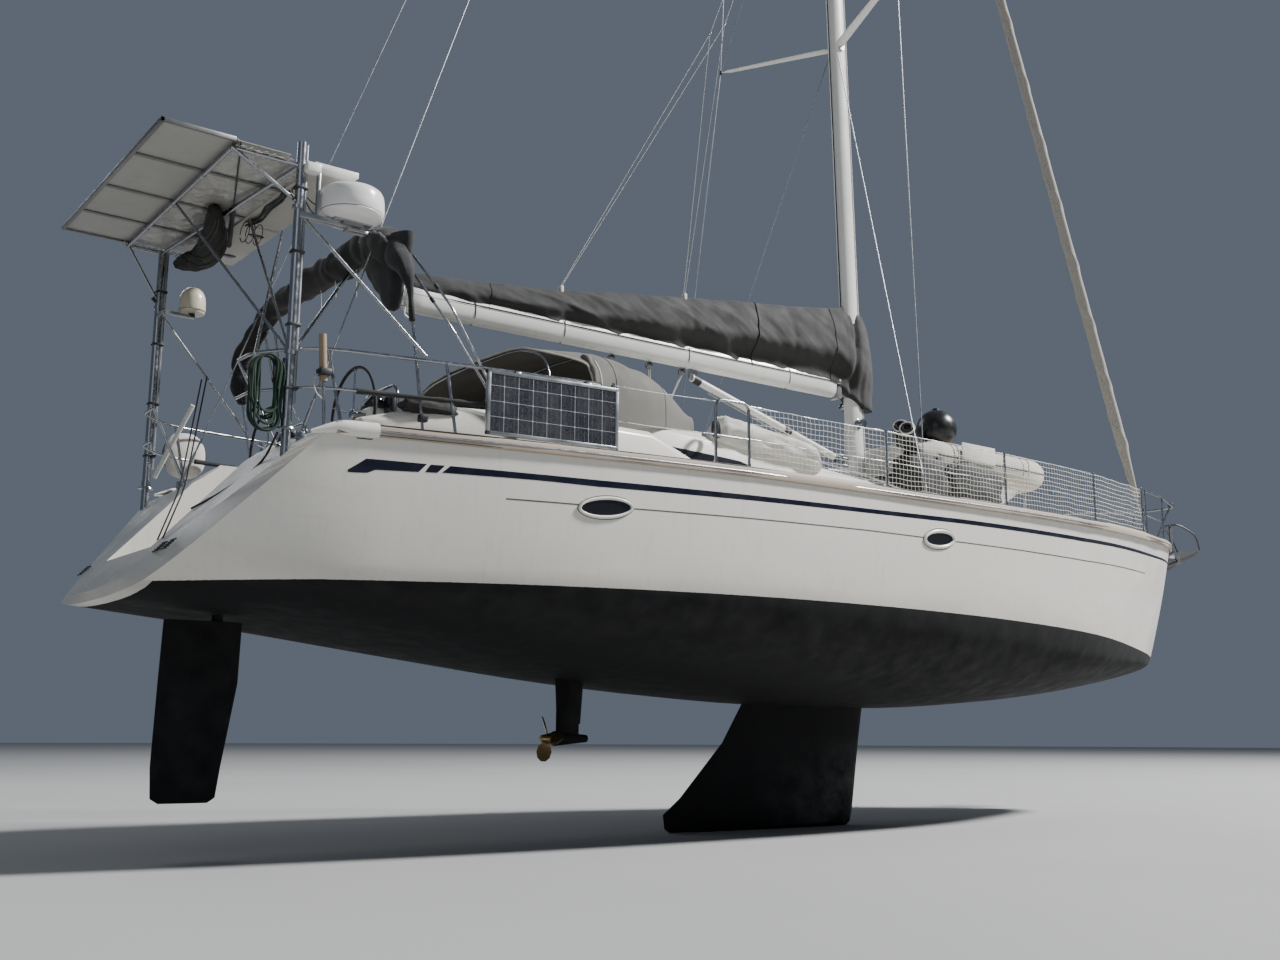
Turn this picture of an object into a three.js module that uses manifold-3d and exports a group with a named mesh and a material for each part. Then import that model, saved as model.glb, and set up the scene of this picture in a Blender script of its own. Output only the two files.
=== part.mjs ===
// A fifteen metre cruising sloop, as a scene graph of separate named pieces.
// Millimetres. +X forward, +Y to port, +Z up. The origin is on the centreline, at the
// waterline, midway between stem head and transom foot.
import * as THREE from "three";
import { mergeVertices } from "three/addons/utils/BufferGeometryUtils.js";
import Module from "manifold-3d";

const wasm = await Module();
wasm.setup();

// Driving dimensions
const GAP = 0.4;
const SIDES = [
  { side: "stbd", sign: -1 },
  { side: "port", sign: 1 },
];
const DECK_CAMBER = 90;
const TRANSOM_FOOT = { x: -7450, z: 200 };
const TRANSOM_RAKE = 0.92; // forward run for each unit of height
const MAST = { x: 1250, foot: 2050, head: 20400, rake: 0.028, length: 260, width: 170 };
const GOOSENECK = { x: 1030, z: 3170 };
const BOOM = { fore: 950, aft: -4900, bottomFore: 3040, bottomAft: 2980, depth: 270, width: 180 };
const RUDDER_STOCK = { x: -6430, radius: 45, bottom: -20, top: 330 };
const WHEEL = { x: -5720, y: 900, z: 1680, radius: 400 };
const POST = { x: -6590, y: 1600, radius: 38 };
const ARRAY = {
  aft: -7700, bar: -7130, starboard: -1690, port: 1610, z: 3530, tilt: 0.065, thickness: 38,
  foreStarboard: -6100, forePort: -5900,
};
const PROPELLER = { x: -3110, z: -960, radius: 250 };
const FORESTAY = { footX: 7385, footZ: 1890, headX: 915, headZ: 19000 };

// Hull stations. x, half beam and height of the sheer, half beam and height of the
// paint line, height of the bottom, and the roundness of the bilge.
const STATIONS = [
  [-6280, 1800, 1346, 1652, 193, 26, 0.46],
  [-4500, 2080, 1365, 1980, 240, -210, 0.62],
  [-2500, 2230, 1400, 2160, 280, -450, 0.72],
  [-500, 2260, 1420, 2170, 300, -590, 0.76],
  [1500, 2210, 1450, 2030, 280, -600, 0.8],
  [3500, 1960, 1500, 1670, 240, -470, 0.88],
  [5500, 1360, 1585, 930, 190, -220, 1],
  [6500, 860, 1640, 460, 150, -50, 1],
].map(([x, sheerBeam, sheerZ, lineBeam, lineZ, bottomZ, bilge]) => ({
  x, sheerBeam, sheerZ, lineBeam, lineZ, bottomZ, bilge,
}));
const TOPSIDE_STEPS = [0, 0.25, 0.5, 0.75, 1];
const BILGE_ANGLES = [25, 48, 70];
const TOPSIDE_BULGE = 22;

// Rows of half beam and height, from the sheer to the centreline.
const TRANSOM_EDGE = [
  [1750, 1190], [1530, 970], [1300, 750], [1080, 530], [860, 330], [690, 215], [460, 180], [230, 165],
  [0, 160],
];
const QUARTER_EDGE = [
  [1778, 1300], [1700, 1060], [1585, 810], [1450, 560], [1270, 320], [1060, 165], [700, 110], [350, 90],
  [0, 85],
];
const QUARTER_SETBACK = 90;
// Rows of x and height, from the stem head to the forefoot.
const STEM_LINE = [
  [7500, 1720], [7450, 1440], [7385, 1110], [7300, 800], [7170, 440], [7040, 220], [6880, 70],
  [6730, -10], [6600, -45],
];
const STEM_HALF_WIDTH = 22;

// Materials. Colour, roughness and metalness.
const MATERIALS = {
  gelcoat: [0xe9e6dc, 0.25, 0],
  antifouling: [0x16171a, 0.85, 0],
  steel: [0xc9ccd0, 0.25, 0.9],
  aluminium: [0xd5d6d4, 0.35, 0.7],
  spar_white: [0xeceae4, 0.35, 0.1],
  canvas_grey: [0x55565a, 0.9, 0],
  canvas_taupe: [0xa09889, 0.9, 0],
  canvas_black: [0x17181a, 0.9, 0],
  sail_roll: [0x8d8880, 0.85, 0],
  solar_cell: [0x10182c, 0.2, 0.1],
  dome_white: [0xe8e6df, 0.4, 0],
  dark_acrylic: [0x101216, 0.1, 0],
  teak: [0x9a8468, 0.7, 0],
  bronze: [0xa9853f, 0.35, 0.9],
  rubber: [0x141414, 0.7, 0],
  tender_fabric: [0xb9b2a2, 0.75, 0],
  hose_green: [0x12291d, 0.5, 0],
  buoy_white: [0xe6e3da, 0.7, 0],
};

// Turns a geometry into a closed solid that faces out.
function solidOf(geometry) {
  const loose = geometry.index ? geometry.toNonIndexed() : geometry;
  const bare = new THREE.BufferGeometry().setAttribute("position", loose.getAttribute("position"));
  const merged = mergeVertices(bare, 1e-3);
  const triVerts = new Uint32Array(merged.index.array);
  const vertProperties = merged.attributes.position.array;
  const made = new wasm.Manifold(new wasm.Mesh({ numProp: 3, vertProperties, triVerts }));
  if (made.volume() > 0) return made;
  for (let i = 0; i < triVerts.length; i += 3) {
    [triVerts[i + 1], triVerts[i + 2]] = [triVerts[i + 2], triVerts[i + 1]];
  }
  return new wasm.Manifold(new wasm.Mesh({ numProp: 3, vertProperties, triVerts }));
}

function geometryOf(solid) {
  const mesh = solid.getMesh();
  const geometry = new THREE.BufferGeometry();
  geometry.setAttribute(
    "position", new THREE.BufferAttribute(new Float32Array(mesh.vertProperties), 3),
  );
  geometry.setIndex(new THREE.BufferAttribute(new Uint32Array(mesh.triVerts), 1));
  geometry.computeVertexNormals();
  return geometry;
}

const joined = (solids) => solids.reduce((sum, solid) => sum.add(solid));
const largest = (solid) => solid.decompose().sort((a, b) => b.volume() - a.volume())[0];

// The piece trimmed to the surface that it stands on, and lifted off it by the gap.
const seated = (solid, base) => largest(solid.subtract(base)).translate([0, 0, GAP]);

// A closed skin through loops of points, with flat fans at both ends.
function loft(loops) {
  const count = loops[0].length;
  const points = loops.flat();
  const faces = [];
  for (let s = 0; s < loops.length - 1; s++) {
    for (let k = 0; k < count; k++) {
      const a = s * count + k;
      const b = s * count + ((k + 1) % count);
      faces.push([a, b, a + count], [b, b + count, a + count]);
    }
  }
  for (const [start, turn] of [[0, false], [points.length - count, true]]) {
    const ring = points.slice(start, start + count);
    const centre = [0, 1, 2].map((i) => ring.reduce((sum, p) => sum + p[i], 0) / count);
    points.push(centre);
    for (let k = 0; k < count; k++) {
      const edge = [start + k, start + ((k + 1) % count)];
      if (turn) edge.reverse();
      faces.push([edge[1], edge[0], points.length - 1]);
    }
  }
  const geometry = new THREE.BufferGeometry();
  const corners = faces.flat().flatMap((i) => points[i]);
  geometry.setAttribute("position", new THREE.BufferAttribute(new Float32Array(corners), 3));
  return solidOf(geometry);
}

function box(x0, x1, y0, y1, z0, z1) {
  const geometry = new THREE.BoxGeometry(x1 - x0, y1 - y0, z1 - z0);
  geometry.translate((x0 + x1) / 2, (y0 + y1) / 2, (z0 + z1) / 2);
  return solidOf(geometry);
}

// A straight round bar between two points.
function rod(from, to, radius, sides = 6, farRadius = radius) {
  const a = new THREE.Vector3(...from);
  const b = new THREE.Vector3(...to);
  const geometry = new THREE.CylinderGeometry(farRadius, radius, a.distanceTo(b), sides);
  const turn = new THREE.Quaternion().setFromUnitVectors(
    new THREE.Vector3(0, 1, 0), b.clone().sub(a).normalize(),
  );
  geometry.applyQuaternion(turn);
  geometry.translate((a.x + b.x) / 2, (a.y + b.y) / 2, (a.z + b.z) / 2);
  return solidOf(geometry);
}

// A tube bent through points, its corners rounded by the given radius.
function bentTube(points, radius, bend, steps, sides = 6) {
  const p = points.map((point) => new THREE.Vector3(...point));
  const path = new THREE.CurvePath();
  let from = p[0];
  for (let i = 1; i < p.length - 1; i++) {
    const before = p[i - 1].clone().sub(p[i]).setLength(bend).add(p[i]);
    const after = p[i + 1].clone().sub(p[i]).setLength(bend).add(p[i]);
    path.add(new THREE.LineCurve3(from, before));
    path.add(new THREE.QuadraticBezierCurve3(before, p[i], after));
    from = after;
  }
  path.add(new THREE.LineCurve3(from, p[p.length - 1]));
  const circle = new THREE.Shape();
  for (let k = 0; k < sides; k++) {
    const angle = (2 * Math.PI * k) / sides;
    circle[k ? "lineTo" : "moveTo"](radius * Math.cos(angle), radius * Math.sin(angle));
  }
  return solidOf(new THREE.ExtrudeGeometry(circle, { steps, extrudePath: path, bevelEnabled: false }));
}

// A flat outline in the plane of X and Z, pulled out along Y and centred on y.
function slab(outline, y, thickness) {
  const shape = new THREE.Shape(outline.map(([x, z]) => new THREE.Vector2(x, z)));
  const geometry = new THREE.ExtrudeGeometry(shape, { depth: thickness, bevelEnabled: false });
  geometry.rotateX(Math.PI / 2);
  geometry.translate(0, y + thickness / 2, 0);
  return solidOf(geometry);
}

// A turned shape about a vertical line. Rows are radius and height.
function turned(rows, x, y, z, segments = 16) {
  const geometry = new THREE.LatheGeometry(rows.map(([r, h]) => new THREE.Vector2(r, h)), segments);
  geometry.rotateX(Math.PI / 2);
  geometry.translate(x, y, z);
  return solidOf(geometry);
}

function ellipseLoop(centre, halfA, halfB, axisA, axisB, count, offset = 0) {
  return Array.from({ length: count }, (_, k) => {
    const angle = (2 * Math.PI * (k + offset)) / count;
    const a = halfA * Math.cos(angle);
    const b = halfB * Math.sin(angle);
    return centre.map((c, i) => c + axisA[i] * a + axisB[i] * b);
  });
}

const X = [1, 0, 0];
const Y = [0, 1, 0];
const Z = [0, 0, 1];

const group = new THREE.Group();
function addPiece(name, solid, finish) {
  const [color, roughness, metalness] = MATERIALS[finish];
  const material = new THREE.MeshStandardMaterial({ color, roughness, metalness });
  const mesh = new THREE.Mesh(geometryOf(solid), material);
  mesh.name = name;
  group.add(mesh);
}

const mastX = (z) => MAST.x - MAST.rake * (z - 2000);
const mastXAtFoot = mastX(MAST.foot);

// Hull and deck
const transomX = (z) => TRANSOM_FOOT.x + TRANSOM_RAKE * (z - TRANSOM_FOOT.z);

function stationSide({ x, sheerBeam, sheerZ, lineBeam, lineZ, bottomZ, bilge }) {
  const side = TOPSIDE_STEPS.map((t) => [
    x,
    sheerBeam + (lineBeam - sheerBeam) * t + TOPSIDE_BULGE * Math.sin(Math.PI * t),
    sheerZ + (lineZ - sheerZ) * t,
  ]);
  for (const degrees of BILGE_ANGLES) {
    const angle = (degrees * Math.PI) / 180;
    side.push([
      x,
      lineBeam * Math.cos(angle) ** bilge,
      lineZ - (lineZ - bottomZ) * Math.sin(angle) ** (1 / bilge ** 0.5),
    ]);
  }
  side.push([x, 0, bottomZ]);
  return side;
}

// A smooth curve through rows of numbers, each row at its own place along the curve.
function faired(places, rows, steps) {
  const slopes = rows.map((row, i) => {
    const before = Math.max(0, i - 1);
    const after = Math.min(rows.length - 1, i + 1);
    return row.map((_, k) => (rows[after][k] - rows[before][k]) / (places[after] - places[before]));
  });
  const curve = [];
  for (let i = 0; i < rows.length - 1; i++) {
    const span = places[i + 1] - places[i];
    for (let s = 0; s < steps; s++) {
      const t = s / steps;
      const [near, far] = [2 * t ** 3 - 3 * t ** 2 + 1, 3 * t ** 2 - 2 * t ** 3];
      const [leave, reach] = [(t ** 3 - 2 * t ** 2 + t) * span, (t ** 3 - t ** 2) * span];
      curve.push(rows[i].map((value, k) =>
        near * value + far * rows[i + 1][k] + leave * slopes[i][k] + reach * slopes[i + 1][k]));
    }
  }
  curve.push(rows[rows.length - 1]);
  return curve;
}

const GIRTH_STEPS = 2;
const LENGTH_STEPS = 4;

// A whole hull section from one side's points, from the sheer to the centreline.
function closedStation(side, deckCentre) {
  const fair = faired(side.map((_, k) => k), side, GIRTH_STEPS);
  const keelPoint = fair[fair.length - 1];
  const port = fair.slice(0, -1);
  const starboard = port.map(([x, y, z]) => [x, -y, z]);
  return [deckCentre, ...starboard, [keelPoint[0], 0, keelPoint[2]], ...port.toReversed()];
}

const sternLoops = [
  closedStation(TRANSOM_EDGE.map(([y, z]) => [transomX(z), y, z]), [transomX(1250), 0, 1250]),
  closedStation(
    QUARTER_EDGE.map(([y, z]) => [transomX(z) + QUARTER_SETBACK, y, z]),
    [transomX(1330) + QUARTER_SETBACK, 0, 1380],
  ),
];
const bodyStations = [
  ...STATIONS.map((s) => closedStation(stationSide(s), [s.x, 0, s.sheerZ + DECK_CAMBER])),
  closedStation(
    STEM_LINE.map(([x, z]) => [x, STEM_HALF_WIDTH, z]),
    [STEM_LINE[0][0], 0, STEM_LINE[0][1] + 8],
  ),
];
const stationPlaces = [...STATIONS.map((s) => s.x), STEM_LINE[1][0]];
const bodyLoops = faired(
  stationPlaces, bodyStations.map((loop) => loop.flat()), LENGTH_STEPS,
).map((row) =>
  Array.from({ length: row.length / 3 }, (_, k) => row.slice(3 * k, 3 * k + 3)));
const bareHull = loft([...sternLoops, ...bodyLoops]);

// Sheer line at a place along the hull, straight between the loops.
const SHEER = bodyLoops.map((loop) => ({ x: loop[1][0], beam: -loop[1][1], z: loop[1][2] }));
function sheerAt(x) {
  const next = SHEER.findIndex((s) => s.x >= x);
  const b = SHEER[Math.max(1, next)];
  const a = SHEER[Math.max(1, next) - 1];
  const t = (x - a.x) / (b.x - a.x);
  return { beam: a.beam + t * (b.beam - a.beam), z: a.z + t * (b.z - a.z) };
}
const deckZ = (x, y) => {
  const { beam, z } = sheerAt(x);
  return z + DECK_CAMBER * (1 - Math.abs(y) / beam);
};

// Rows of x0, x1, half width and floor height, each open upwards.
const COCKPIT_WELLS = [
  [-8000, -6600, 560, 480],
  [-6601, -6300, 560, 720],
  [-6301, -4700, 560, 900],
  [-6050, -4700, 1330, 930],
  [-4701, -3150, 520, 930],
  [-4701, -3150, 1330, 1240],
  [-3160, -2420, 310, 1330],
];
const HULL_TOP_CUT = 2000;
const cockpit = joined(
  COCKPIT_WELLS.map(
    ([x0, x1, halfWidth, floor]) => box(x0, x1, -halfWidth, halfWidth, floor, HULL_TOP_CUT)
  )
);
const stockBore = rod(
  [RUDDER_STOCK.x, 0, -400], [RUDDER_STOCK.x, 0, RUDDER_STOCK.top + GAP], RUDDER_STOCK.radius + 1, 24,
);
const hull = bareHull.subtract(cockpit).subtract(stockBore);
addPiece("hull", hull, "gelcoat");

// Gunwale mouldings. Offsets out from the sheer and up from it.
const GUNWALE_SECTION = [[0.8, -62], [28, -56], [28, 6], [10, 36], [-26, 36], [-26, 3.5], [0.8, 1.6]];
const GUNWALE_TIP_X = 7310;
for (const { side, sign } of SIDES) {
  const ends = SHEER.slice(0, -1);
  const loops = ends.map(
    ({ x, beam, z }) => GUNWALE_SECTION.map(([out, up]) => [x, sign * (beam + out), z + up])
  );
  const beyondTip = box(GUNWALE_TIP_X, GUNWALE_TIP_X + 500, -500, 500, 1500, 1900);
  const clearOfHull = joined([beyondTip, hull, hull.translate([0, sign * GAP, 0])]);
  const moulding = loft(loops).subtract(clearOfHull);
  addPiece(`gunwale_${side}`, largest(moulding.subtract(hull.translate([0, 0, GAP]))), "teak");
}

// Keel. Rows of height, leading edge, trailing edge and half thickness.
const KEEL_SECTIONS = [
  [-300, 1280, -420, 120],
  [-1000, 1150, -900, 112],
  [-1560, 1060, -1480, 118],
  [-1720, 1020, -1700, 165],
  [-1860, 985, -1680, 150],
  [-1900, 940, -1620, 90],
];
// Foil outline: share of the chord from the leading edge, and share of the thickness.
const FOIL = [
  [0, 0], [0.012, 0.3], [0.04, 0.52], [0.1, 0.77], [0.2, 0.94], [0.34, 1], [0.52, 0.86], [0.76, 0.48],
  [1, 0.05],
];
function foilLoop(z, lead, trail, half) {
  const chord = lead - trail;
  const side = FOIL.map(([along, thick]) => [lead - along * chord, half * thick, z]);
  return [...side, ...side.slice(1).reverse().map(([x, y]) => [x, -y, z])];
}
const keelFoil = loft(KEEL_SECTIONS.map(([z, lead, trail, half]) => foilLoop(z, lead, trail, half)));
addPiece("keel", largest(keelFoil.subtract(bareHull)).translate([0, 0, -GAP]), "antifouling");

// Rudder blade with its stock. Rows as for the keel.
const RUDDER_SECTIONS = [
  [RUDDER_STOCK.bottom, -6215, -6870, 58],
  [-520, -6225, -6885, 52],
  [-1200, -6330, -6900, 40],
  [-1440, -6360, -6885, 32],
  [-1480, -6420, -6820, 20],
];
const rudderBlade = loft(
  RUDDER_SECTIONS.map(([z, lead, trail, half]) => foilLoop(z, lead, trail, half))
);
const rudderStock = rod(
  [RUDDER_STOCK.x, 0, -700], [RUDDER_STOCK.x, 0, RUDDER_STOCK.top], RUDDER_STOCK.radius, 24,
);
addPiece("rudder", rudderBlade.add(rudderStock), "antifouling");

// Sail drive leg and propeller
const legX = PROPELLER.x + 210;
const driveLeg = joined([
  loft(
    [
      [-300, legX + 190, legX - 150, 55], [-820, legX + 150, legX - 120, 50],
    ].map(([z, lead, trail, half]) => foilLoop(z, lead, trail, half))
  ),
  rod([legX + 230, 0, PROPELLER.z], [PROPELLER.x + 60.6, 0, PROPELLER.z], 35, 12, 72),
  box(legX - 110, legX + 120, -30, 30, PROPELLER.z, -700),
]);
addPiece("sail_drive_leg", largest(driveLeg.subtract(bareHull)).translate([0, 0, -GAP]), "antifouling");
const hub = rod(
  [PROPELLER.x + 60, 0, PROPELLER.z - GAP], [PROPELLER.x - 90, 0, PROPELLER.z - GAP], 62, 12, 30,
);
const blades = [90, 210, 330].map((degrees) => {
  const geometry = new THREE.CylinderGeometry(78, 60, 16, 10).toNonIndexed();
  geometry.scale(1, 1, 1.35);
  geometry.translate(0, 0, PROPELLER.radius - 105);
  geometry.rotateZ(0.95);
  geometry.rotateX((degrees * Math.PI) / 180);
  geometry.translate(PROPELLER.x, 0, PROPELLER.z - GAP);
  return solidOf(geometry);
});
addPiece("propeller", joined([hub, ...blades]), "bronze");

// Coachroof. Rows of x, half width at the deck, half width of the top, edge height and centre height.
const ROOF_SECTIONS = [
  [-3080, 1330, 1130, 2000, 2120],
  [-2000, 1310, 1100, 1960, 2090],
  [-900, 1240, 1030, 1920, 2060],
  [500, 1090, 880, 1850, 2010],
  [1900, 830, 620, 1740, 1900],
  [2750, 560, 380, 1650, 1740],
  [3250, 300, 200, 1545, 1600],
];
const ROOF_BASE = 1200;
const ROOF_BREAK = { at: 0.55, drop: 0.3 }; // where the crown turns, as shares of width and fall
const roofLoops = ROOF_SECTIONS.map(([x, wide, top, edge, crown]) => [
  [x, 0, crown], [x, -top * ROOF_BREAK.at, crown - (crown - edge) * ROOF_BREAK.drop], [x, -top, edge],
  [x, -top - 55, edge - 50], [x, -wide, ROOF_BASE],
  [x, wide, ROOF_BASE], [x, top + 55, edge - 50], [x, top, edge], [
    x, top * ROOF_BREAK.at, crown - (crown - edge) * ROOF_BREAK.drop,
  ],
]);
const roofBlock = loft(roofLoops);
const companionway = box(-3200, -2420, -310, 310, 1330, 2300);
const bareRoof = seated(roofBlock, hull).subtract(companionway);

function roofZ(x, y) {
  const next = Math.max(1, ROOF_SECTIONS.findIndex((row) => row[0] >= x));
  const [x0, , top0, edge0, crown0] = ROOF_SECTIONS[next - 1];
  const [x1, , top1, edge1, crown1] = ROOF_SECTIONS[next];
  const t = (x - x0) / (x1 - x0);
  const top = top0 + t * (top1 - top0);
  const edge = edge0 + t * (edge1 - edge0);
  const crown = crown0 + t * (crown1 - crown0);
  const out = Math.min(1, Math.abs(y) / top);
  const drop = out < ROOF_BREAK.at ? (out / ROOF_BREAK.at) * ROOF_BREAK.drop
    : ROOF_BREAK.drop + ((out - ROOF_BREAK.at) / (1 - ROOF_BREAK.at)) * (1 - ROOF_BREAK.drop);
  return crown - (crown - edge) * drop;
}

// Coachroof with what is moulded or bolted to its top: the runners of the sliding hatch,
// the saloon hatch's coaming and the plinth below the mast.
const HATCH_Z = 2150;
const RUNNER = { aft: -3075, fore: -1560, inner: 330, outer: 362 };
const SALOON_HATCH = { aft: -1250, fore: -700, half: 270 };
const saloonHatchZ = roofZ(SALOON_HATCH.aft, 0) + 30;
const roofFittings = [
  ...SIDES.map(({ sign }) => {
    const [inner, outer] = [sign * RUNNER.inner, sign * RUNNER.outer].sort((a, b) => a - b);
    return box(RUNNER.aft, RUNNER.fore, inner, outer, 1900, HATCH_Z - 5);
  }),
  box(
    SALOON_HATCH.aft + 30, SALOON_HATCH.fore - 30, -SALOON_HATCH.half + 30, SALOON_HATCH.half - 30,
    saloonHatchZ - 140, saloonHatchZ,
  ),
  box(mastXAtFoot - 230, mastXAtFoot + 230, -230, 230, 1800, MAST.foot - 20),
];
const GARAGE = { aft: -2330, fore: -1500, half: 402, top: HATCH_Z + 78 };
const garage = loft([GARAGE.aft, GARAGE.fore].map((x) => [
  [x, -GARAGE.half, 1900], [x, GARAGE.half, 1900], [x, GARAGE.half - 12, GARAGE.top - 24],
  [x, GARAGE.half - 60, GARAGE.top],
  [x, 60 - GARAGE.half, GARAGE.top], [x, 12 - GARAGE.half, GARAGE.top - 24],
]));
const garageSpace = box(GARAGE.aft - 900, GARAGE.fore - 50, -377, 377, HATCH_Z - 5, HATCH_Z + 50);
const roof = joined([bareRoof, garage, ...roofFittings]).subtract(garageSpace);
addPiece("coachroof", roof, "gelcoat");

// Companionway hatch that slides forward on its runners, and the washboards below it
const slideHatch = loft([-3110, -2350].map((x) => [
  [x, -370, HATCH_Z - 5 + GAP], [x, 370, HATCH_Z - 5 + GAP], [x, 360, HATCH_Z + 28],
  [x, 180, HATCH_Z + 42], [x, -180, HATCH_Z + 42], [x, -360, HATCH_Z + 28],
]));
addPiece("companionway_hatch", slideHatch, "dark_acrylic");
addPiece("washboard", box(-3075, -3045, -309, 309, 1330 + GAP * 2, HATCH_Z - 8), "dark_acrylic");

// Deck hatches, their lids hinged along the forward edge
const FORE_HATCH = { aft: 5720, fore: 6220, half: 250 };
const foreHatchZ = deckZ(FORE_HATCH.fore, 0) + 30;
addPiece(
  "saloon_hatch_lid",
  box(
    SALOON_HATCH.aft, SALOON_HATCH.fore, -SALOON_HATCH.half, SALOON_HATCH.half, saloonHatchZ + GAP,
    saloonHatchZ + 26,
  ),
  "dark_acrylic",
);
const foreHatchCoaming = box(
  FORE_HATCH.aft + 30, FORE_HATCH.fore - 30, -FORE_HATCH.half + 30, FORE_HATCH.half - 30,
  foreHatchZ - 140, foreHatchZ,
);
addPiece("fore_hatch_coaming", seated(foreHatchCoaming, hull), "aluminium");
addPiece(
  "fore_hatch_lid",
  box(
    FORE_HATCH.aft, FORE_HATCH.fore, -FORE_HATCH.half, FORE_HATCH.half, foreHatchZ + 2 * GAP,
    foreHatchZ + 26,
  ),
  "dark_acrylic",
);

// Cockpit coamings with their winches' plinths. Rows of x, inner y, outer y and top height.
const COAMING_SECTIONS = [
  [-5950, 1400, 1560, 1520],
  [-5300, 1400, 1640, 1700],
  [-4200, 1390, 1720, 1760],
  [-3200, 1385, 1720, 1765],
  [-2300, 1390, 1560, 1520],
];
for (const { side, sign } of SIDES) {
  const loops = COAMING_SECTIONS.map(([x, inner, outer, top]) => [
    [x, sign * inner, 1150], [x, sign * inner, top], [x, sign * (outer - 60), top - 6],
    [x, sign * outer, top - 60], [x, sign * (outer + 60), 1150],
  ]);
  addPiece(`coaming_${side}`, seated(loft(loops), hull.add(roof)), "gelcoat");
}
function coamingTop(x) {
  const next = COAMING_SECTIONS.findIndex((row) => row[0] >= x);
  const [a, b] = [COAMING_SECTIONS[next - 1], COAMING_SECTIONS[next]];
  return a[3] + ((x - a[0]) / (b[0] - a[0])) * (b[3] - a[3]);
}

// Winches. Rows of place name, x, y, height of the surface below it, and size.
const WINCHES = [
  ["primary_winch", -4350, 1530, (x) => coamingTop(x + 85) - 2.5, 1],
  ["roof_winch", -2650, 760, (x) => roofZ(x, 760) - 12, 0.8],
];
const WINCH_ROWS = [[0, 0], [85, 0], [85, 28], [58, 42], [52, 120], [72, 138], [72, 160], [0, 172]];
for (const [name, x, y, base, size] of WINCHES) {
  for (const { side, sign } of SIDES) {
    const z = base(x);
    const rows = WINCH_ROWS.map(([r, h]) => [r * size, h * size]);
    addPiece(`${name}_${side}`, seated(turned(rows, x, sign * y, z, 14), roof), "steel");
  }
}

// Steering pedestals and wheels
for (const { side, sign } of SIDES) {
  const y = sign * WHEEL.y;
  const pedestal = loft([[930, 150, 130], [1500, 90, 95], [1760, 85, 90]].map(([z, halfX, halfY]) => [
    [WHEEL.x + 190 - halfX, y - halfY, z], [WHEEL.x + 190 + halfX, y - halfY, z],
    [WHEEL.x + 190 + halfX, y + halfY, z], [WHEEL.x + 190 - halfX, y + halfY, z],
  ]));
  addPiece(`helm_pedestal_${side}`, seated(pedestal, hull), "gelcoat");
  const rim = new THREE.TorusGeometry(WHEEL.radius, 14, 6, 24);
  rim.rotateY(Math.PI / 2);
  rim.translate(WHEEL.x, y, WHEEL.z);
  const spokes = [0, 1, 2, 3, 4].map((k) => {
    const angle = (2 * Math.PI * k) / 5 + Math.PI / 2;
    return rod(
      [WHEEL.x, y, WHEEL.z],
      [WHEEL.x, y + WHEEL.radius * Math.cos(angle), WHEEL.z + WHEEL.radius * Math.sin(angle)], 8, 6,
    );
  });
  const wheelHub = rod([WHEEL.x - 25, y, WHEEL.z], [WHEEL.x + 102.28, y, WHEEL.z], 40, 12);
  addPiece(`helm_wheel_${side}`, joined([solidOf(rim), ...spokes, wheelHub]), "steel");
}

// Cockpit table on its pillar, with its leaves down
const table = joined([
  box(-4500, -3500, -110, 110, 1560, 1600),
  box(-4500, -3500, -112, -92, 1300, 1565),
  box(-4500, -3500, 92, 112, 1300, 1565),
  box(-4100, -3900, -60, 60, 700, 1570),
]);
addPiece("cockpit_table", seated(table, hull), "teak");

const VANG = { x: -1290, foot: 2280, radius: 42, neck: 16, neckLength: 120 };

// Mast with its spreaders. Rows of height, length and tip lift of each pair.
const SPREADERS = [
  [7600, 1650, 120],
  [11900, 1330, 100],
  [16100, 980, 80],
];
const SPREADER_SWEEP = 0.36;
const mastRows = [[MAST.foot, 1], [15000, 1], [19500, 0.72], [MAST.head, 0.62]];
const mastTube = loft(
  mastRows.map(
    ([z, size]) => ellipseLoop(
      [mastX(z), 0, z], (MAST.length / 2) * size, (MAST.width / 2) * size, X, Y, 14,
    )
  )
);
const spreaderTip = ([z, length, lift], sign) => [
  mastX(z) - SPREADER_SWEEP * length, sign * length * 0.93, z + lift,
];
const spreaders = SPREADERS.flatMap((row) => SIDES.map(({ sign }) => {
  const [z, length, lift] = row;
  const tip = spreaderTip(row, sign);
  const root = [mastX(z) - 20, 0, z];
  return loft([[root, 1], [tip, 0.6]].map(([[x, y, height], size]) => [
    [x + 70 * size, y, height], [x, y, height + 16 * size], [x - 75 * size, y, height],
    [x, y, height - 16 * size],
  ]));
}));
const mastHead = box(mastX(20400) - 330, mastX(20400) + 170, -40, 40, 20380, 20440);
const mastStep = turned(
  [[0, 0], [190, 0], [190, 26], [0, 26]], mastX(MAST.foot), 0, MAST.foot - 10, 14,
);
const goose = joined([
  box(GOOSENECK.x - 32, mastX(3170) - 60, -24, 24, GOOSENECK.z - 92, GOOSENECK.z - 52),
  box(GOOSENECK.x - 32, mastX(3170) - 60, -24, 24, GOOSENECK.z + 52, GOOSENECK.z + 92),
  box(GOOSENECK.x - 24, mastX(VANG.foot) - 60, -24, 24, VANG.foot - 52, VANG.foot - 34),
  box(GOOSENECK.x - 24, mastX(VANG.foot) - 60, -24, 24, VANG.foot + 34, VANG.foot + 52),
]);
const mast = joined([mastTube, ...spreaders, mastHead, mastStep, goose]);
addPiece("mast", seated(mast, roof), "spar_white");

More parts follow.
